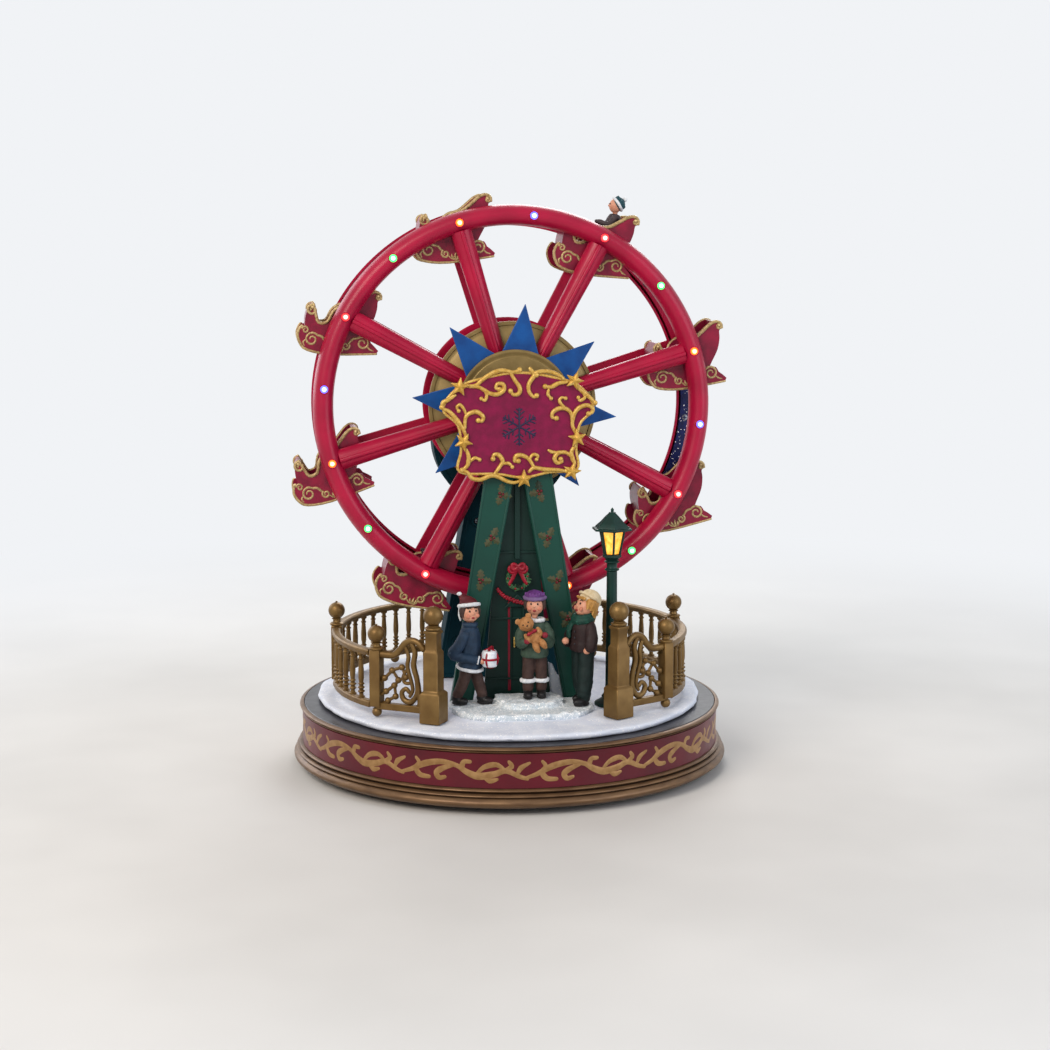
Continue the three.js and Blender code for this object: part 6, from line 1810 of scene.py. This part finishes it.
@dataclass
class Gondolas:
    """Eight sleigh-shaped gondolas that hang from their pins, each at its own lean."""

    half_width: float = 13.4
    wall: float = 1.6
    leans: tuple[float, ...] = (-10, 5, 9, 0, -13, 15, -5, 3)
    edge: tuple[Pair, ...] = ((18.6, 10.6), (17.8, 13.2), (15.2, 14.1), (11.8, 12.8), (8.2, 10.0), (3.0, 6.3),
                              (-2.4, 5.0), (-6.3, 1.8), (-9.0, -3.7), (-13.5, -4.3), (-15.3, 0.0), (-16.8, 5.0))
    prow: tuple[Pair, ...] = ((-19.2, 3.3), (-20.7, -2.3), (-20.2, -8.8), (-17.5, -13.8))
    keel: tuple[Pair, ...] = ((-11.9, -17.1), (3.0, -17.5), (8.2, -13.0), (11.8, -7.3), (15.4, -1.0), (16.9, 5.0),
                              (17.0, 9.0))
    cavity: tuple[Pair, ...] = ((-14.6, 4.6), (-17.5, -1.0), (-18.2, -7.5), (-15.6, -12.5), (-10.9, -15.7),
                                (2.4, -16.1), (6.2, -12.1), (9.0, -6.9), (12.2, -0.6), (13.9, 5.5), (15.0, 10.6),
                                (15.0, 20.0), (-14.6, 20.0))
    runner: tuple[Pair, ...] = ((-22.6, -6.9), (-24.1, -11.3), (-22.6, -15.9), (-18.5, -19.3), (-5.6, -20.7),
                                (18.2, -18.7), (15.0, -13.2), (10.5, -9.8), (-16.0, -10.0), (-19.8, -7.0))

    @classmethod
    def placed(cls, number: int) -> tuple[Matrix, ...]:
        """Steps that lean a shape drawn about a pin and move it to gondola `number`."""
        angle = math.radians(WHEEL_TURN + 360 / ARMS * (number - 1))
        return (turn(-cls.leans[number - 1], "Y"),
                shift(LED_CIRCLE * math.sin(angle), 0, HUB_HEIGHT + LED_CIRCLE * math.cos(angle)))

    def smooth(self, points: Sequence[Pair], steps: int = 3) -> list[Pair]:
        """Draws a smooth closed outline through points."""
        return [(p.x, p.z) for p in spline(points, steps, closed=True)]

    def hull(self) -> Shape:
        """Carves the open body out of a plate and adds the runner plates."""
        inside = self.half_width - self.wall
        front = -self.half_width + 0.5
        body = prism(self.smooth((*self.edge, *self.prow, *self.keel)), front, -2 * front)
        cavity = prism(self.cavity, -inside, 2 * inside)
        eye = lathe([(0, -15), (2.2, -15), (2.2, 15), (0, 15)], 24).moved(turn(-90, "X"))
        shape = carved(body, cavity, eye)
        for side in (-1, 1):
            near = -self.half_width + 0.3 if side < 0 else inside
            shape.add(prism(self.smooth(self.runner), near, self.wall - 0.3))
        return shape

    def lines(self) -> list[tuple[list[Pair], Triple]]:
        """Lists the gold lines of one side with their radii at both ends and between.

        Returns:
            Points and radii.
        """
        spirals = [(-16.4, -13.6, 3.7, 40, 1.35), (10.5, -13.6, 3.7, 140, -1.35), (-7.4, -16.0, 2.2, 130, 1.2),
                   (1.6, -15.7, 2.2, 50, -1.2)]
        found = [(curl((x, z), r, start, turns), (0.7, 0.7, 0.5)) for x, z, r, start, turns in spirals]
        found += [
            ([(-13.6, -11.2), (-11.2, -11.8), (-9.8, -13.6), (-8.8, -14.3)], (0.7, 0.8, 0.6)),
            ([(7.7, -11.2), (5.4, -11.6), (3.9, -13.2), (3.0, -14.0)], (0.7, 0.8, 0.6)),
            ([(-5.7, -17.2), (-4.4, -18.6), (-2.6, -19.3)], (0.4, 0.5, 0.4)),
            ([(0.2, -17.0), (-0.2, -18.6), (-1.6, -19.3)], (0.4, 0.5, 0.4)),
            ([(-2.0, -19.4), (-2.2, -17.6), (-1.9, -15.6)], (0.4, 0.85, 0.25)),
            ([(-2.4, -19.2), (-3.8, -17.6), (-4.1, -16.2)], (0.35, 0.7, 0.25)),
            ([(-1.7, -19.2), (-0.7, -17.8), (-0.6, -16.4)], (0.35, 0.7, 0.25)),
            ([(13.2, -15.2), (14.6, -16.6), (16.6, -17.3)], (0.4, 0.6, 0.3)),
            ([(-19.8, -14.0), (-20.9, -15.4), (-20.2, -17.2)], (0.35, 0.6, 0.3)),
        ]
        return found

    def trim(self) -> Shape:
        """Lays gold edges, rolled ends and runner scrolls on both sides."""
        shape = Shape()
        bands = [(self.edge, (0.7, 1.0, 0.95, 0.8)), (curl((16.9, 11.5), 1.7, 40, -0.8), (0.8, 0.7, 0.6)),
                 (curl((-17.2, 2.0), 2.8, 95, 1.25), (0.8, 0.75, 0.6)),
                 (curl((-20.3, -8.9), 1.9, 150, -1.1), (0.6, 0.6, 0.5)),
                 (((-21.6, -7.4), *self.runner[:6]), (0.65, 0.85, 0.6))]
        for side in (-1, 1):
            y = side * (self.half_width - 0.5)
            for points, radii in (*bands, *self.lines()):
                shape.add(sweep([(p.x, y, p.z) for p in spline(points, 3)], radii, 8, flat=0.9))
        for x, z in ((-17.4, 3.4), (16.8, 12.0)):
            shape.add(sweep([(x, y, z) for y in (-12.8, 0, 12.8)], 1.2, 10))
        return shape

    def build(self) -> None:
        """Builds all gondolas on their bodies."""
        hull, trim = self.hull(), self.trim()
        for number in range(1, ARMS + 1):
            steps = self.placed(number)
            body = f"gondola_body_{number}"
            piece(f"sleigh_{number}_hull", hull.moved(*steps), SLEIGH_RED, body, [f"gondola_{number}"], bevel=0.3,
                  angle=30)
            piece(f"sleigh_{number}_trim", trim.moved(*steps), TRIM_GOLD, body, angle=50)


# Figures

class Hat(Enum):
    """What a figure wears on its head."""

    FUR_CAP = "fur_cap"
    BEANIE = "beanie"
    BERET = "beret"


@dataclass(frozen=True)
class Outfit:
    """Finishes of one figure."""

    coat: Paint
    sleeves: Paint
    trousers: Paint
    hat: Paint
    hair: Paint
    trim: Paint | None
    brim: Paint
    mitts: Paint
    hat_kind: Hat


@dataclass
class Figure:
    """A small carol figure, drawn facing -Y on its own feet and then turned into place."""

    name: str
    node: str
    place: Triple
    angle: float
    outfit: Outfit
    seed: float
    hands: tuple[Triple, Triple]
    elbow: Triple = (8.4, -2.2, 29.4)
    hem: float = 17.0
    stride: float = 0.6
    spread: float = 3.6
    baggy: float = 1.0
    look: float = 0.0
    nod: float = 0.0
    lift: float = 0.0
    scale: float = 1.0

    def put(self, part: str, shape: Shape, finish: Paint, replaces: Sequence[str] = (), voxel: float = 0.0) -> None:
        """Places a part of the figure.

        Args:
            part: The part's word in its name.
            shape: The part, drawn at the origin.
            finish: Its finish.
            replaces: CAD nodes that it stands for.
            voxel: Size of the cells that fuse it.
        """
        placed = shape.moved(size(*[self.scale] * 3), turn(self.angle), shift(*self.place))
        piece(f"{self.name}_{part}", placed, finish, "base", replaces, voxel=voxel, angle=70)

    @property
    def tip(self) -> tuple[Matrix, ...]:
        """Steps that nod and turn the head about its neck."""
        return shift(0, 0, -43), turn(self.nod, "X"), turn(self.look), shift(0, -0.4, 43 + self.lift)

    def ring(self, radii: Pair, middle: Triple, thick: float, rise: float = 0.0, count: int = 26) -> Shape:
        """Makes a fur band round a limb or the body.

        Args:
            radii: Half sizes in X and Y.
            middle: Its middle.
            thick: Radius of the band.
            rise: How much its back stands higher.
            count: Number of points.

        Returns:
            The band.
        """
        path = [(middle[0] + radii[0] * math.cos(a), middle[1] + radii[1] * math.sin(a),
                 middle[2] + rise * math.sin(a)) for a in angles(count)]
        return sweep(path, thick, 8, closed=True)

    def build(self) -> None:
        """Builds the whole figure."""
        self.legs()
        self.coat()
        self.head()
        self.cap()
        self.extras()

    def legs(self) -> None:
        """Builds trousers and boots."""
        trousers, boots = Shape(), Shape()
        wide = self.baggy
        for side in (-1, 1):
            step = side * self.stride
            path = [(side * 2.8, 0, self.hem + 3), (side * self.spread, step * 0.45 - 0.5, 13),
                    (side * self.spread, step, 4.6)]
            trousers.add(sweep(spline(path, 6), (3.5 * wide, 3.3 * wide, 3.1 * wide, 2.8 * wide), 14))
            for z in (5.6, 8.6, 11.6):
                share = (13 - z) / 8.4
                fold = (side * self.spread, step * (0.45 + 0.55 * share), z)
                trousers.add(ball((3.15 * wide, 3.1 * wide, 0.8), fold, 14, 6))
            boots.add(ball((2.6, 3.0, 2.6), (side * self.spread, step + 0.4, 3.2), 16, 10))
            boots.add(ball((2.55, 4.2, 1.9), (side * self.spread, step - 2.0, 1.9), 16, 10))
            boots.add(lathe([(0, 0), (2.6, 0), (2.6, 0.8), (0, 0.8)], 20).moved(
                size(1, 1.7, 1), shift(side * self.spread, step - 1.2, 0)))
        trousers.add(ball((6.0, 4.8, 4), (0, 0, self.hem + 3), 18, 10))
        self.put("trousers", rough_up(trousers, 0.35, 0.4, self.seed), self.outfit.trousers, voxel=0.5)
        self.put("boots", boots, BOOT, voxel=0.4)

    def coat(self) -> None:
        """Builds the coat with folds, both sleeves, mittens and its fur."""
        low = self.hem
        body = lathe([(0, low - 0.6), (7.0, low - 0.6), (7.6, low + 0.4), (7.3, low + 3), (6.8, (low + 36) / 2),
                      (6.9, 34), (6.6, 37.6), (5.4, 40.4), (3.2, 42.4), (0, 42.8)], 28).moved(size(1, 0.84, 1))
        body = body.bent(lambda p: p + Vector((p.x, p.y, 0)) * 0.05 * math.sin(5 * math.atan2(p.y, p.x))
                         * max(0.0, min(1.0, (34 - p.z) / 12)))
        if self.outfit.hat_kind is Hat.FUR_CAP:
            body.add(self.ring((3.2, 3.0), (0, -0.3, 43.0), 1.5))
        sleeves, mitts, fur = Shape(), Shape(), Shape()
        for side, hand in zip((-1, 1), self.hands):
            hold, bent = Vector(hand), Vector((side * self.elbow[0], *self.elbow[1:]))
            wrist = hold + (bent - hold).normalized() * 2.2
            path = [(side * 5.4, 0.2, 38.4), (Vector((side * 7.6, 0, 38)) + bent) / 2, bent, wrist]
            sleeves.add(sweep(spline(path, 6), (2.8, 3.1, 3.0, 2.2), 14))
            mitts.add(ball((1.75, 1.85, 1.7), hand, 14, 10))
            cuff = ball((2.5, 0.95, 2.5), (0, 0, 0), 16, 8)
            facing = (bent - hold).to_track_quat("Y", "Z").to_matrix().to_4x4()
            fur.add(cuff.moved(facing, shift(*wrist)))
        self.put("coat", rough_up(body, 0.35, 0.3, self.seed), self.outfit.coat, [self.node], voxel=0.45)
        self.put("sleeves", rough_up(sleeves, 0.35, 0.35, self.seed + 3), self.outfit.sleeves, voxel=0.45)
        self.put("mittens", mitts, self.outfit.mitts, voxel=0.4)
        if self.outfit.trim:
            if self.outfit.hat_kind is Hat.FUR_CAP:
                fur.add(self.ring((7.4, 6.3), (0, 0, low + 0.3), 1.05, 1.2))
            else:
                fur = self.ring((3.6, 3.2), (1.0, -0.6, 42), 1.2)
            self.put("fur_trim", rough_up(fur, 0.3, 1.1, self.seed + 5), self.outfit.trim, voxel=0.38)

    def head(self) -> None:
        """Builds a plain doll face and the hair."""
        face = ball((4.75, 4.6, 5.3), (0, 0, 47.6), 26, 18)
        face.add(ball((1.7, 1.7, 3), (0, 0.3, 42.6), 14, 8), ball((0.7, 0.75, 0.7), (0, -4.5, 47.1), 12, 8))
        face.add(ball((3.3, 3.2, 2.3), (0, -1.0, 44.9), 18, 10))
        face.add(*(ball((0.8, 1.1, 1.3), (side * 4.7, 0.3, 47.6), 10, 8) for side in (-1, 1)))
        self.put("face", face.moved(*self.tip), SKIN, voxel=0.3)
        cheeks = Shape().add(*(ball((1.3, 0.55, 1.1), (side * 2.6, -3.75, 45.9), 14, 8) for side in (-1, 1)))
        self.put("cheeks", cheeks.moved(*self.tip), CHEEK)
        eyes = Shape()
        for side in (-1, 1):
            eyes.add(ball((0.5, 0.4, 0.58), (side * 1.75, -4.25, 48.4), 12, 8))
            brow = [(side, -4.45, 49.8), (side * 1.8, -4.2, 50.2), (side * 2.6, -3.7, 49.8)]
            eyes.add(sweep(spline(brow, 3), 0.18, 6))
        self.put("eyes", eyes.moved(*self.tip), EYE)
        self.put("mouth", ball((1.0, 0.5, 0.6), (0, -4.15, 44.8), 14, 8).moved(*self.tip), MOUTH)
        hair = ball((5.0, 4.8, 4.6), (0, 0.9, 49.2), 22, 14)
        long_hair = self.outfit.hat_kind is Hat.BERET
        for i in range(13):
            a = math.radians(-20 + 220 * i / 12)
            drop = 6.5 * max(0.0, math.sin(a)) if long_hair else 1.0
            start = Vector((4.5 * math.cos(a), 4.4 * math.sin(a) + 0.5, 50.6))
            end = Vector((5.2 * math.cos(a), 5.6 * math.sin(a) + 0.5, 46.6 - drop))
            hair.add(sweep([start, (start + end) / 2 + Vector((0, 0, 0.3)), end], (1.3, 1.3, 0.6), 8))
        hair.add(*(ball((1.5, 0.9, 0.9), (x, -3.7, 51.2), 10, 6) for x in (-2.6, -0.6, 1.5, 3.0)))
        self.put("hair", rough_up(hair.moved(*self.tip), 0.35, 0.9, self.seed + 7), self.outfit.hair, voxel=0.4)

    def cap(self) -> None:
        """Builds the hat of the outfit."""
        kind = self.outfit.hat_kind
        fur = Shape()
        if kind is Hat.BERET:
            crown = ball((4.4, 5.9, 5.2), (0, 1.5, 51.2), 24, 14)
            band = self.ring((4.9, 5.0), (0, 1.0, 52.4), 0.8, -1.4)
        elif kind is Hat.BEANIE:
            crown = ball((5.5, 5.4, 3.7), (0, 0.9, 51.9), 24, 14)
            band = self.ring((5.3, 5.3), (0, 0.5, 51.6), 1.15, 0.8)
        else:
            crown = ball((5.2, 5.1, 4.0), (0, 0.8, 51.8), 24, 14)
            crown.add(sweep([(-0.8, 1, 53.2), (-2.6, 1.4, 55.2), (-3.8, 1.6, 56.6), (-4.4, 1.8, 57.2)],
                            (4.0, 2.6, 1.5, 1.1), 12))
            band = self.ring((5.2, 5.2), (0, 0.4, 51.5), 1.15, -0.5)
            fur.add(ball((1.5, 1.5, 1.1), (-4.6, 1.8, 57.8), 16, 10))
            fur.add(sweep([(-4.9, 0.8, 51), (-5.4, 1.2, 47), (-4.9, 1.6, 44)], (1.0, 0.9, 0.7), 8))
        crown.add(*(ball((0.5, 0.5, 2.0), (5.1 * math.cos(a), 5.0 * math.sin(a) + 0.8, 52.6), 8, 8)
                    for a in (angles(18) if kind is Hat.BEANIE else ())))
        self.put("hat", rough_up(crown.moved(*self.tip), 0.3, 0.5, self.seed + 9), self.outfit.hat, voxel=0.4)
        self.put("hat_brim", rough_up(band.add(fur).moved(*self.tip), 0.32, 1.2, self.seed + 11), self.outfit.brim,
                 voxel=0.36)

    def extras(self) -> None:
        """Builds what this figure holds or wears besides."""


@dataclass
class BoyWithPresent(Figure):
    """The boy strides to the right with a round white present."""

    def extras(self) -> None:
        """Builds the present with its ribbon."""
        spot = (shift(0, -11.4, 25.4), turn(self.angle), shift(*self.place))
        case = ball((5.0, 4.2, 5.0), (0, 0, 0), 26, 16).add(
            lathe([(0, -4.3), (3.6, -4.3), (4.3, -3), (4.3, 3), (3.6, 4.3), (0, 4.3)], 12))
        present = rough_up(case, 0.25, 0.5, 1.0).moved(*spot)
        piece(f"{self.name}_present", present, WHITE, "base", voxel=0.36, angle=60)
        bands = Shape()
        for plane in (turn(24, "Z"), turn(90, "X") @ turn(20, "Z"), turn(90, "Y")):
            bands.add(self.ring((4.9, 4.6), (0, 0, 0), 0.62).moved(plane))
        for side in (-1, 1):
            loop = [(0, 0, 4.6), (side * 1.4, -0.4, 6.0), (side * 3.1, -0.6, 5.4), (side * 2.0, -0.8, 4.6),
                    (0, 0, 4.7)]
            bands.add(sweep(spline(loop, 4), 0.6, 8, flat=0.8))
        piece(f"{self.name}_ribbon", bands.moved(*spot), BOW_RED, "base", bevel=0.1)


@dataclass
class ChildWithTeddy(Figure):
    """The child in the middle hugs a teddy bear beside the cheek."""

    def extras(self) -> None:
        """Builds the teddy bear, its bow and the fur of the boots."""
        lean = (turn(-30, "Y"), shift(-0.6, -8.4, 34.4))
        bear = ball((3.5, 2.9, 4.6), (0, 0, 0), 18, 12)
        bear.add(ball((4.2, 3.5, 3.9), (-0.4, -0.4, 8.2), 20, 12), ball((1.8, 1.6, 1.5), (-0.2, -3.6, 7.4), 12, 8))
        for side in (-1, 1):
            bear.add(ball((1.6, 0.9, 1.6), (-0.4 + side * 3.2, 0, 11.4), 12, 8))
            bear.add(ball((1.5, 1.8, 2.9), (side * 3.6, -1.2, 1.4), 12, 8))
            bear.add(ball((1.8, 2.2, 3.2), (side * 2.1, -1.4, -5.4), 12, 8))
        self.put("teddy", rough_up(bear.moved(*lean), 0.4, 1.0, 2.0), TEDDY, voxel=0.36)
        bow = Shape().add(*(ball((1.6, 0.8, 1.0), (side * 1.5, -3.0, 3.2), 12, 8) for side in (-1, 1)),
                          ball((0.8, 0.8, 0.8), (0, -3.3, 3.2), 10, 6))
        self.put("teddy_bow", bow.moved(*lean), BOW_RED)
        eyes = Shape().add(*(ball((0.45, 0.34, 0.45), (-0.4 + side * 1.5, -3.6, 9.1), 10, 6) for side in (-1, 1)),
                           ball((0.55, 0.4, 0.42), (-0.2, -5.1, 7.9), 10, 6))
        self.put("teddy_eyes", eyes.moved(*lean), EYE)
        cuffs = Shape().add(*(self.ring((3.3, 3.3), (side * self.spread, side * self.stride, 9.4), 1.25, 0, 18)
                              for side in (-1, 1)))
        self.put("boot_fur", rough_up(cuffs, 0.35, 1.1, 4.0), FUR, voxel=0.36)


@dataclass
class ChildWithScarf(Figure):
    """The child on the right looks up and wears a thick scarf."""

    def extras(self) -> None:
        """Builds the scarf and the buttons."""
        scarf = self.ring((4.4, 4.0), (0, -0.2, 41.4), 1.9, 0.5)
        scarf.add(self.ring((4.2, 3.8), (0, -0.4, 43.2), 1.4, 0.6))
        tail = [(-2.2, -4.2, 41), (-3.2, -6.0, 37), (-3.4, -6.4, 33)]
        scarf.add(sweep(spline(tail, 6), (1.5, 1.7, 1.4), 10, flat=0.6))
        self.put("scarf", rough_up(scarf, 0.35, 0.8, 6.0), SCARF, voxel=0.36)
        buttons = Shape().add(*(ball((0.5, 0.4, 0.5), (1.0, -6.1, z), 12, 8) for z in (30, 33, 36)))
        self.put("buttons", buttons, BOOT)


@dataclass
class Rider:
    """A person who sits in a gondola with hands on its rim and a hat pushed back."""

    number: int
    hat: Paint
    coat: Paint
    seed: float = 1.0
    head: Pair = (6.6, 18.6)
    push: float = 48.0

    def build(self) -> None:
        """Builds coat, face, hat and fur."""
        place = Gondolas.placed(self.number)
        body = f"gondola_body_{self.number}"
        name = f"rider_of_{self.number}"
        coat = lathe([(0, -7.4), (1.4, -7.2), (3.6, -3), (4.7, 2), (4.8, 7), (4.2, 11.4), (2.7, 14), (0, 14.8)], 24)
        coat = coat.moved(shift(7.2, 0, 0))
        for side in (-1, 1):
            path = [(7.0, side * 4.2, 12.2), (3.8, side * 5.3, 8.0), (-0.8, side * 4.0, 8.6)]
            coat.add(sweep(spline(path, 5), (1.9, 1.8, 1.4), 12), ball((1.2, 1.1, 1.1), (-1.6, side * 3.9, 8.8)))
        piece(f"{name}_coat", rough_up(coat, 0.3, 0.4, self.seed).moved(*place), self.coat, body,
              [f"rider_{self.number}"], voxel=0.42)
        centre = shift(self.head[0], 0, self.head[1])
        face = ball((3.5, 3.4, 3.9), (0, 0, 0), 22, 14)
        face.add(ball((0.75, 0.6, 0.6), (-3.5, 0, -0.4), 10, 6), ball((1.4, 1.4, 2.2), (0.6, 0, -4), 12, 8))
        piece(f"{name}_face", face.moved(centre, *place), SKIN, body, voxel=0.3)
        eyes = Shape().add(*(ball((0.3, 0.4, 0.45), (-3.25, side * 1.3, 0.6), 10, 6) for side in (-1, 1)))
        piece(f"{name}_eyes", eyes.moved(centre, *place), EYE, body)
        push = (turn(self.push, "Y"), centre, *place)
        hat = ball((3.9, 3.9, 3.7), (0, 0, 1.9), 22, 12)
        hat.add(*(ball((0.45, 0.45, 2.2), (3.6 * math.cos(a), 3.6 * math.sin(a), 2.6), 8, 6) for a in angles(14)))
        piece(f"{name}_hat", hat.moved(*push), self.hat, body, voxel=0.36)
        brim = [(3.85 * math.cos(a), 3.85 * math.sin(a), 1.5) for a in angles(24)]
        fur = sweep(brim, 0.85, 8, closed=True).add(ball((1.4, 1.4, 1.3), (0, 0, 6.2), 14, 8))
        piece(f"{name}_fur", rough_up(fur, 0.25, 1.2, self.seed).moved(*push), FUR, body, voxel=0.34)


def figures() -> list[Figure]:
    """Lists the three carol figures.

    Returns:
        The figures, from the left.
    """
    boy = Outfit(NAVY, NAVY, BROWN, HAT_RED, BROWN, FUR, FUR, SKIN, Hat.FUR_CAP)
    middle = Outfit(COAT_GREEN, COAT_GREEN, BROWN, HAT_PURPLE, BROWN, FUR, HAT_LILAC, SLEEVE_RED, Hat.BEANIE)
    friend = Outfit(COAT_BROWN, COAT_BROWN, PANTS_GREEN, CREAM, BLONDE, None, CREAM, SKIN, Hat.BERET)
    return [
        BoyWithPresent("boy", "boy_with_present", (-27.5, -51.5, STEP_TOP), 62, boy, 1.0,
                       ((-3.6, -8.6, 24.4), (3.6, -8.6, 25)), (9.2, 5.2, 27.6), hem=19.4, stride=-5.8, spread=3.4,
                       look=-44, nod=-8, lift=1.6),
        ChildWithTeddy("middle_child", "child_with_teddy", (7, -53, HIGH_STEP_TOP), -4, middle, 2.0,
                       ((-4.6, -9.6, 32.2), (4.8, -9.8, 35.4)), hem=22.6, look=-6, nod=-6, lift=2.2,
                       elbow=(7.4, -2.6, 29.6)),
        ChildWithScarf("friend", "child_with_scarf", (32.5, -57.5, STEP_TOP), -62, friend, 3.0,
                       ((-3.4, -8.2, 31), (6.2, -2.6, 27)), hem=26.6, stride=-2.4, baggy=1.2, nod=-18, look=-8,
                       scale=1.1),
    ]


# Studio

@dataclass
class Studio:
    """Pale floor, white backdrop, soft lamps and the photograph's camera."""

    camera_place: Triple = (-133.1, -1094.9, 292.8)
    camera_turn: Triple = (81.67, 0.0, -7.38)
    lens: float = 69.19
    sensor: float = 36.0
    clip: Pair = (0.01, 50.0)
    floor_radii: Pair = (2600.0, 4200.0)
    floor_colour: str = "dcdbd8"
    floor_shade: str = "cfcecb"
    floor_rough: float = 0.8
    floor_shine: float = 0.12
    floor_fade: Pair = (0.2, 0.85)
    sky_colour: str = "f1f3f6"
    sky_strength: float = 0.4

    def build(self) -> None:
        """Builds floor, world, lamps and camera."""
        self.floor()
        self.world()
        self.lamps()
        self.camera()
        bpy.context.scene.view_settings.view_transform = "Standard"

    def floor(self) -> None:
        """Lays the pale floor under the object."""
        mesh = bpy.data.meshes.new("studio_floor")
        shape = lathe([(0, 0), *((radius, 0) for radius in self.floor_radii)], 96)
        mesh.from_pydata([p * MM for p in shape.points], [], shape.faces)
        nodes = Nodes("studio_floor_paper")
        tone = nodes.ramp(nodes.noise(6, 3), (0.3, 0.7), linear(self.floor_shade), linear(self.floor_colour))
        nodes.surface({"Base Color": tone, "Roughness": self.floor_rough, "Specular IOR Level": self.floor_shine})
        nodes.bump(nodes.noise(900, 3), 0.06, 0.3)
        self.fade(nodes)
        mesh.materials.append(nodes.material)
        floor = into_scene("studio_floor", mesh)

    def fade(self, nodes: Nodes) -> None:
        """Lets the far floor run into the backdrop for the camera, metal and glass."""
        far = nodes.add("ShaderNodeVectorMath", operation="LENGTH")
        nodes.feed(nodes.place, far.inputs[0])
        share = nodes.add("ShaderNodeMapRange", interpolation_type="SMOOTHSTEP")
        nodes.feed(far.outputs["Value"], share.inputs["Value"])
        nodes.feed(self.floor_fade[0], share.inputs["From Min"])
        nodes.feed(self.floor_fade[1], share.inputs["From Max"])
        factor = nodes.math("MULTIPLY", share.outputs["Result"], self.seen(nodes.tree))
        sky = nodes.add("ShaderNodeEmission")
        nodes.feed(linear(self.sky_colour), sky.inputs["Color"])
        both = nodes.add("ShaderNodeMixShader")
        for source, target in zip((factor, nodes.shader.outputs[0], sky.outputs[0]), both.inputs):
            nodes.feed(source, target)
        nodes.feed(both.outputs[0], nodes.output.inputs["Surface"])

    def seen(self, tree: bpy.types.NodeTree) -> Socket:
        """Tells camera, glossy and transmission rays from the others.

        Args:
            tree: The tree that gets the nodes.

        Returns:
            A socket that is 1 for these rays.
        """
        path = tree.nodes.new("ShaderNodeLightPath")
        found = path.outputs["Is Camera Ray"]
        for kind in ("Is Glossy Ray", "Is Transmission Ray"):
            either = tree.nodes.new("ShaderNodeMath")
            either.operation = "MAXIMUM"
            tree.links.new(found, either.inputs[0])
            tree.links.new(path.outputs[kind], either.inputs[1])
            found = either.outputs[0]
        return found

    def world(self) -> None:
        """Shows the camera, metal and glass a white surrounding, and lights softly."""
        world = bpy.data.worlds.new("studio_sky")
        world.use_nodes = True
        bpy.context.scene.world = world
        tree = world.node_tree
        background = tree.nodes["Background"]
        background.inputs["Color"].default_value = linear(self.sky_colour)
        strength = tree.nodes.new("ShaderNodeMapRange")
        tree.links.new(self.seen(tree), strength.inputs["Value"])
        strength.inputs["To Min"].default_value = self.sky_strength
        strength.inputs["To Max"].default_value = 1.0
        tree.links.new(strength.outputs["Result"], background.inputs["Strength"])

    def lamp(self, name: str, place: Triple, aim: Triple, width: float, power: float, colour: str) -> None:
        """Hangs a soft lamp.

        Args:
            name: The lamp's name.
            place: Its place in millimetres.
            aim: The point that it looks at.
            width: Side of its square in millimetres.
            power: Power in watts.
            colour: Its colour.
        """
        light = bpy.data.lights.new(name, "AREA")
        light.size = width * MM
        light.energy = power
        light.color = linear(colour)[:3]
        made = into_scene(name, light)
        made.location = Vector(place) * MM
        ahead = Vector(aim) - Vector(place)
        made.rotation_euler = ahead.to_track_quat("-Z", "Y").to_euler()

    def lamps(self) -> None:
        """Hangs key, fill and rim lamps."""
        self.lamp("key_lamp", (-620, -760, 760), (0, 0, 150), 620, 9.0, "fff4e8")
        self.lamp("fill_lamp", (760, -620, 420), (0, 0, 150), 760, 4.0, "eef3ff")
        self.lamp("rim_lamp", (240, 760, 720), (0, 0, 190), 520, 5.0, "ffffff")
        self.lamp("back_lamp", (-640, 620, 460), (0, 0, 160), 620, 3.0, "f6f8ff")

    def camera(self) -> None:
        """Places the camera where the photograph was taken from."""
        data = bpy.data.cameras.new("photo_camera")
        data.lens = self.lens
        data.sensor_width = self.sensor
        data.clip_start, data.clip_end = self.clip
        made = into_scene("photo_camera", data)
        made.location = Vector(self.camera_place) * MM
        made.rotation_euler = [math.radians(a) for a in self.camera_turn]
        bpy.context.scene.camera = made


def main() -> None:
    """Builds the scene in order and logs how many objects each builder adds."""
    logging.basicConfig(level=logging.INFO, format="%(message)s")
    noise.seed_set(NOISE_SEED)
    crew = [Studio(), RoundBase(), Snow(), Fence(), LampPost(), FrontTower(), Sign(), RearTower(), Wheel(), Gondolas(),
            *figures(), Rider(1, BEANIE, GREY_COAT), Rider(5, HAT_RED, COAT_BROWN, seed=4.0)]
    for builder in crew:
        before = len(bpy.data.objects)
        builder.build()
        log.info("%s: %d objects", type(builder).__name__, len(bpy.data.objects) - before)


if __name__ == "__main__":
    main()
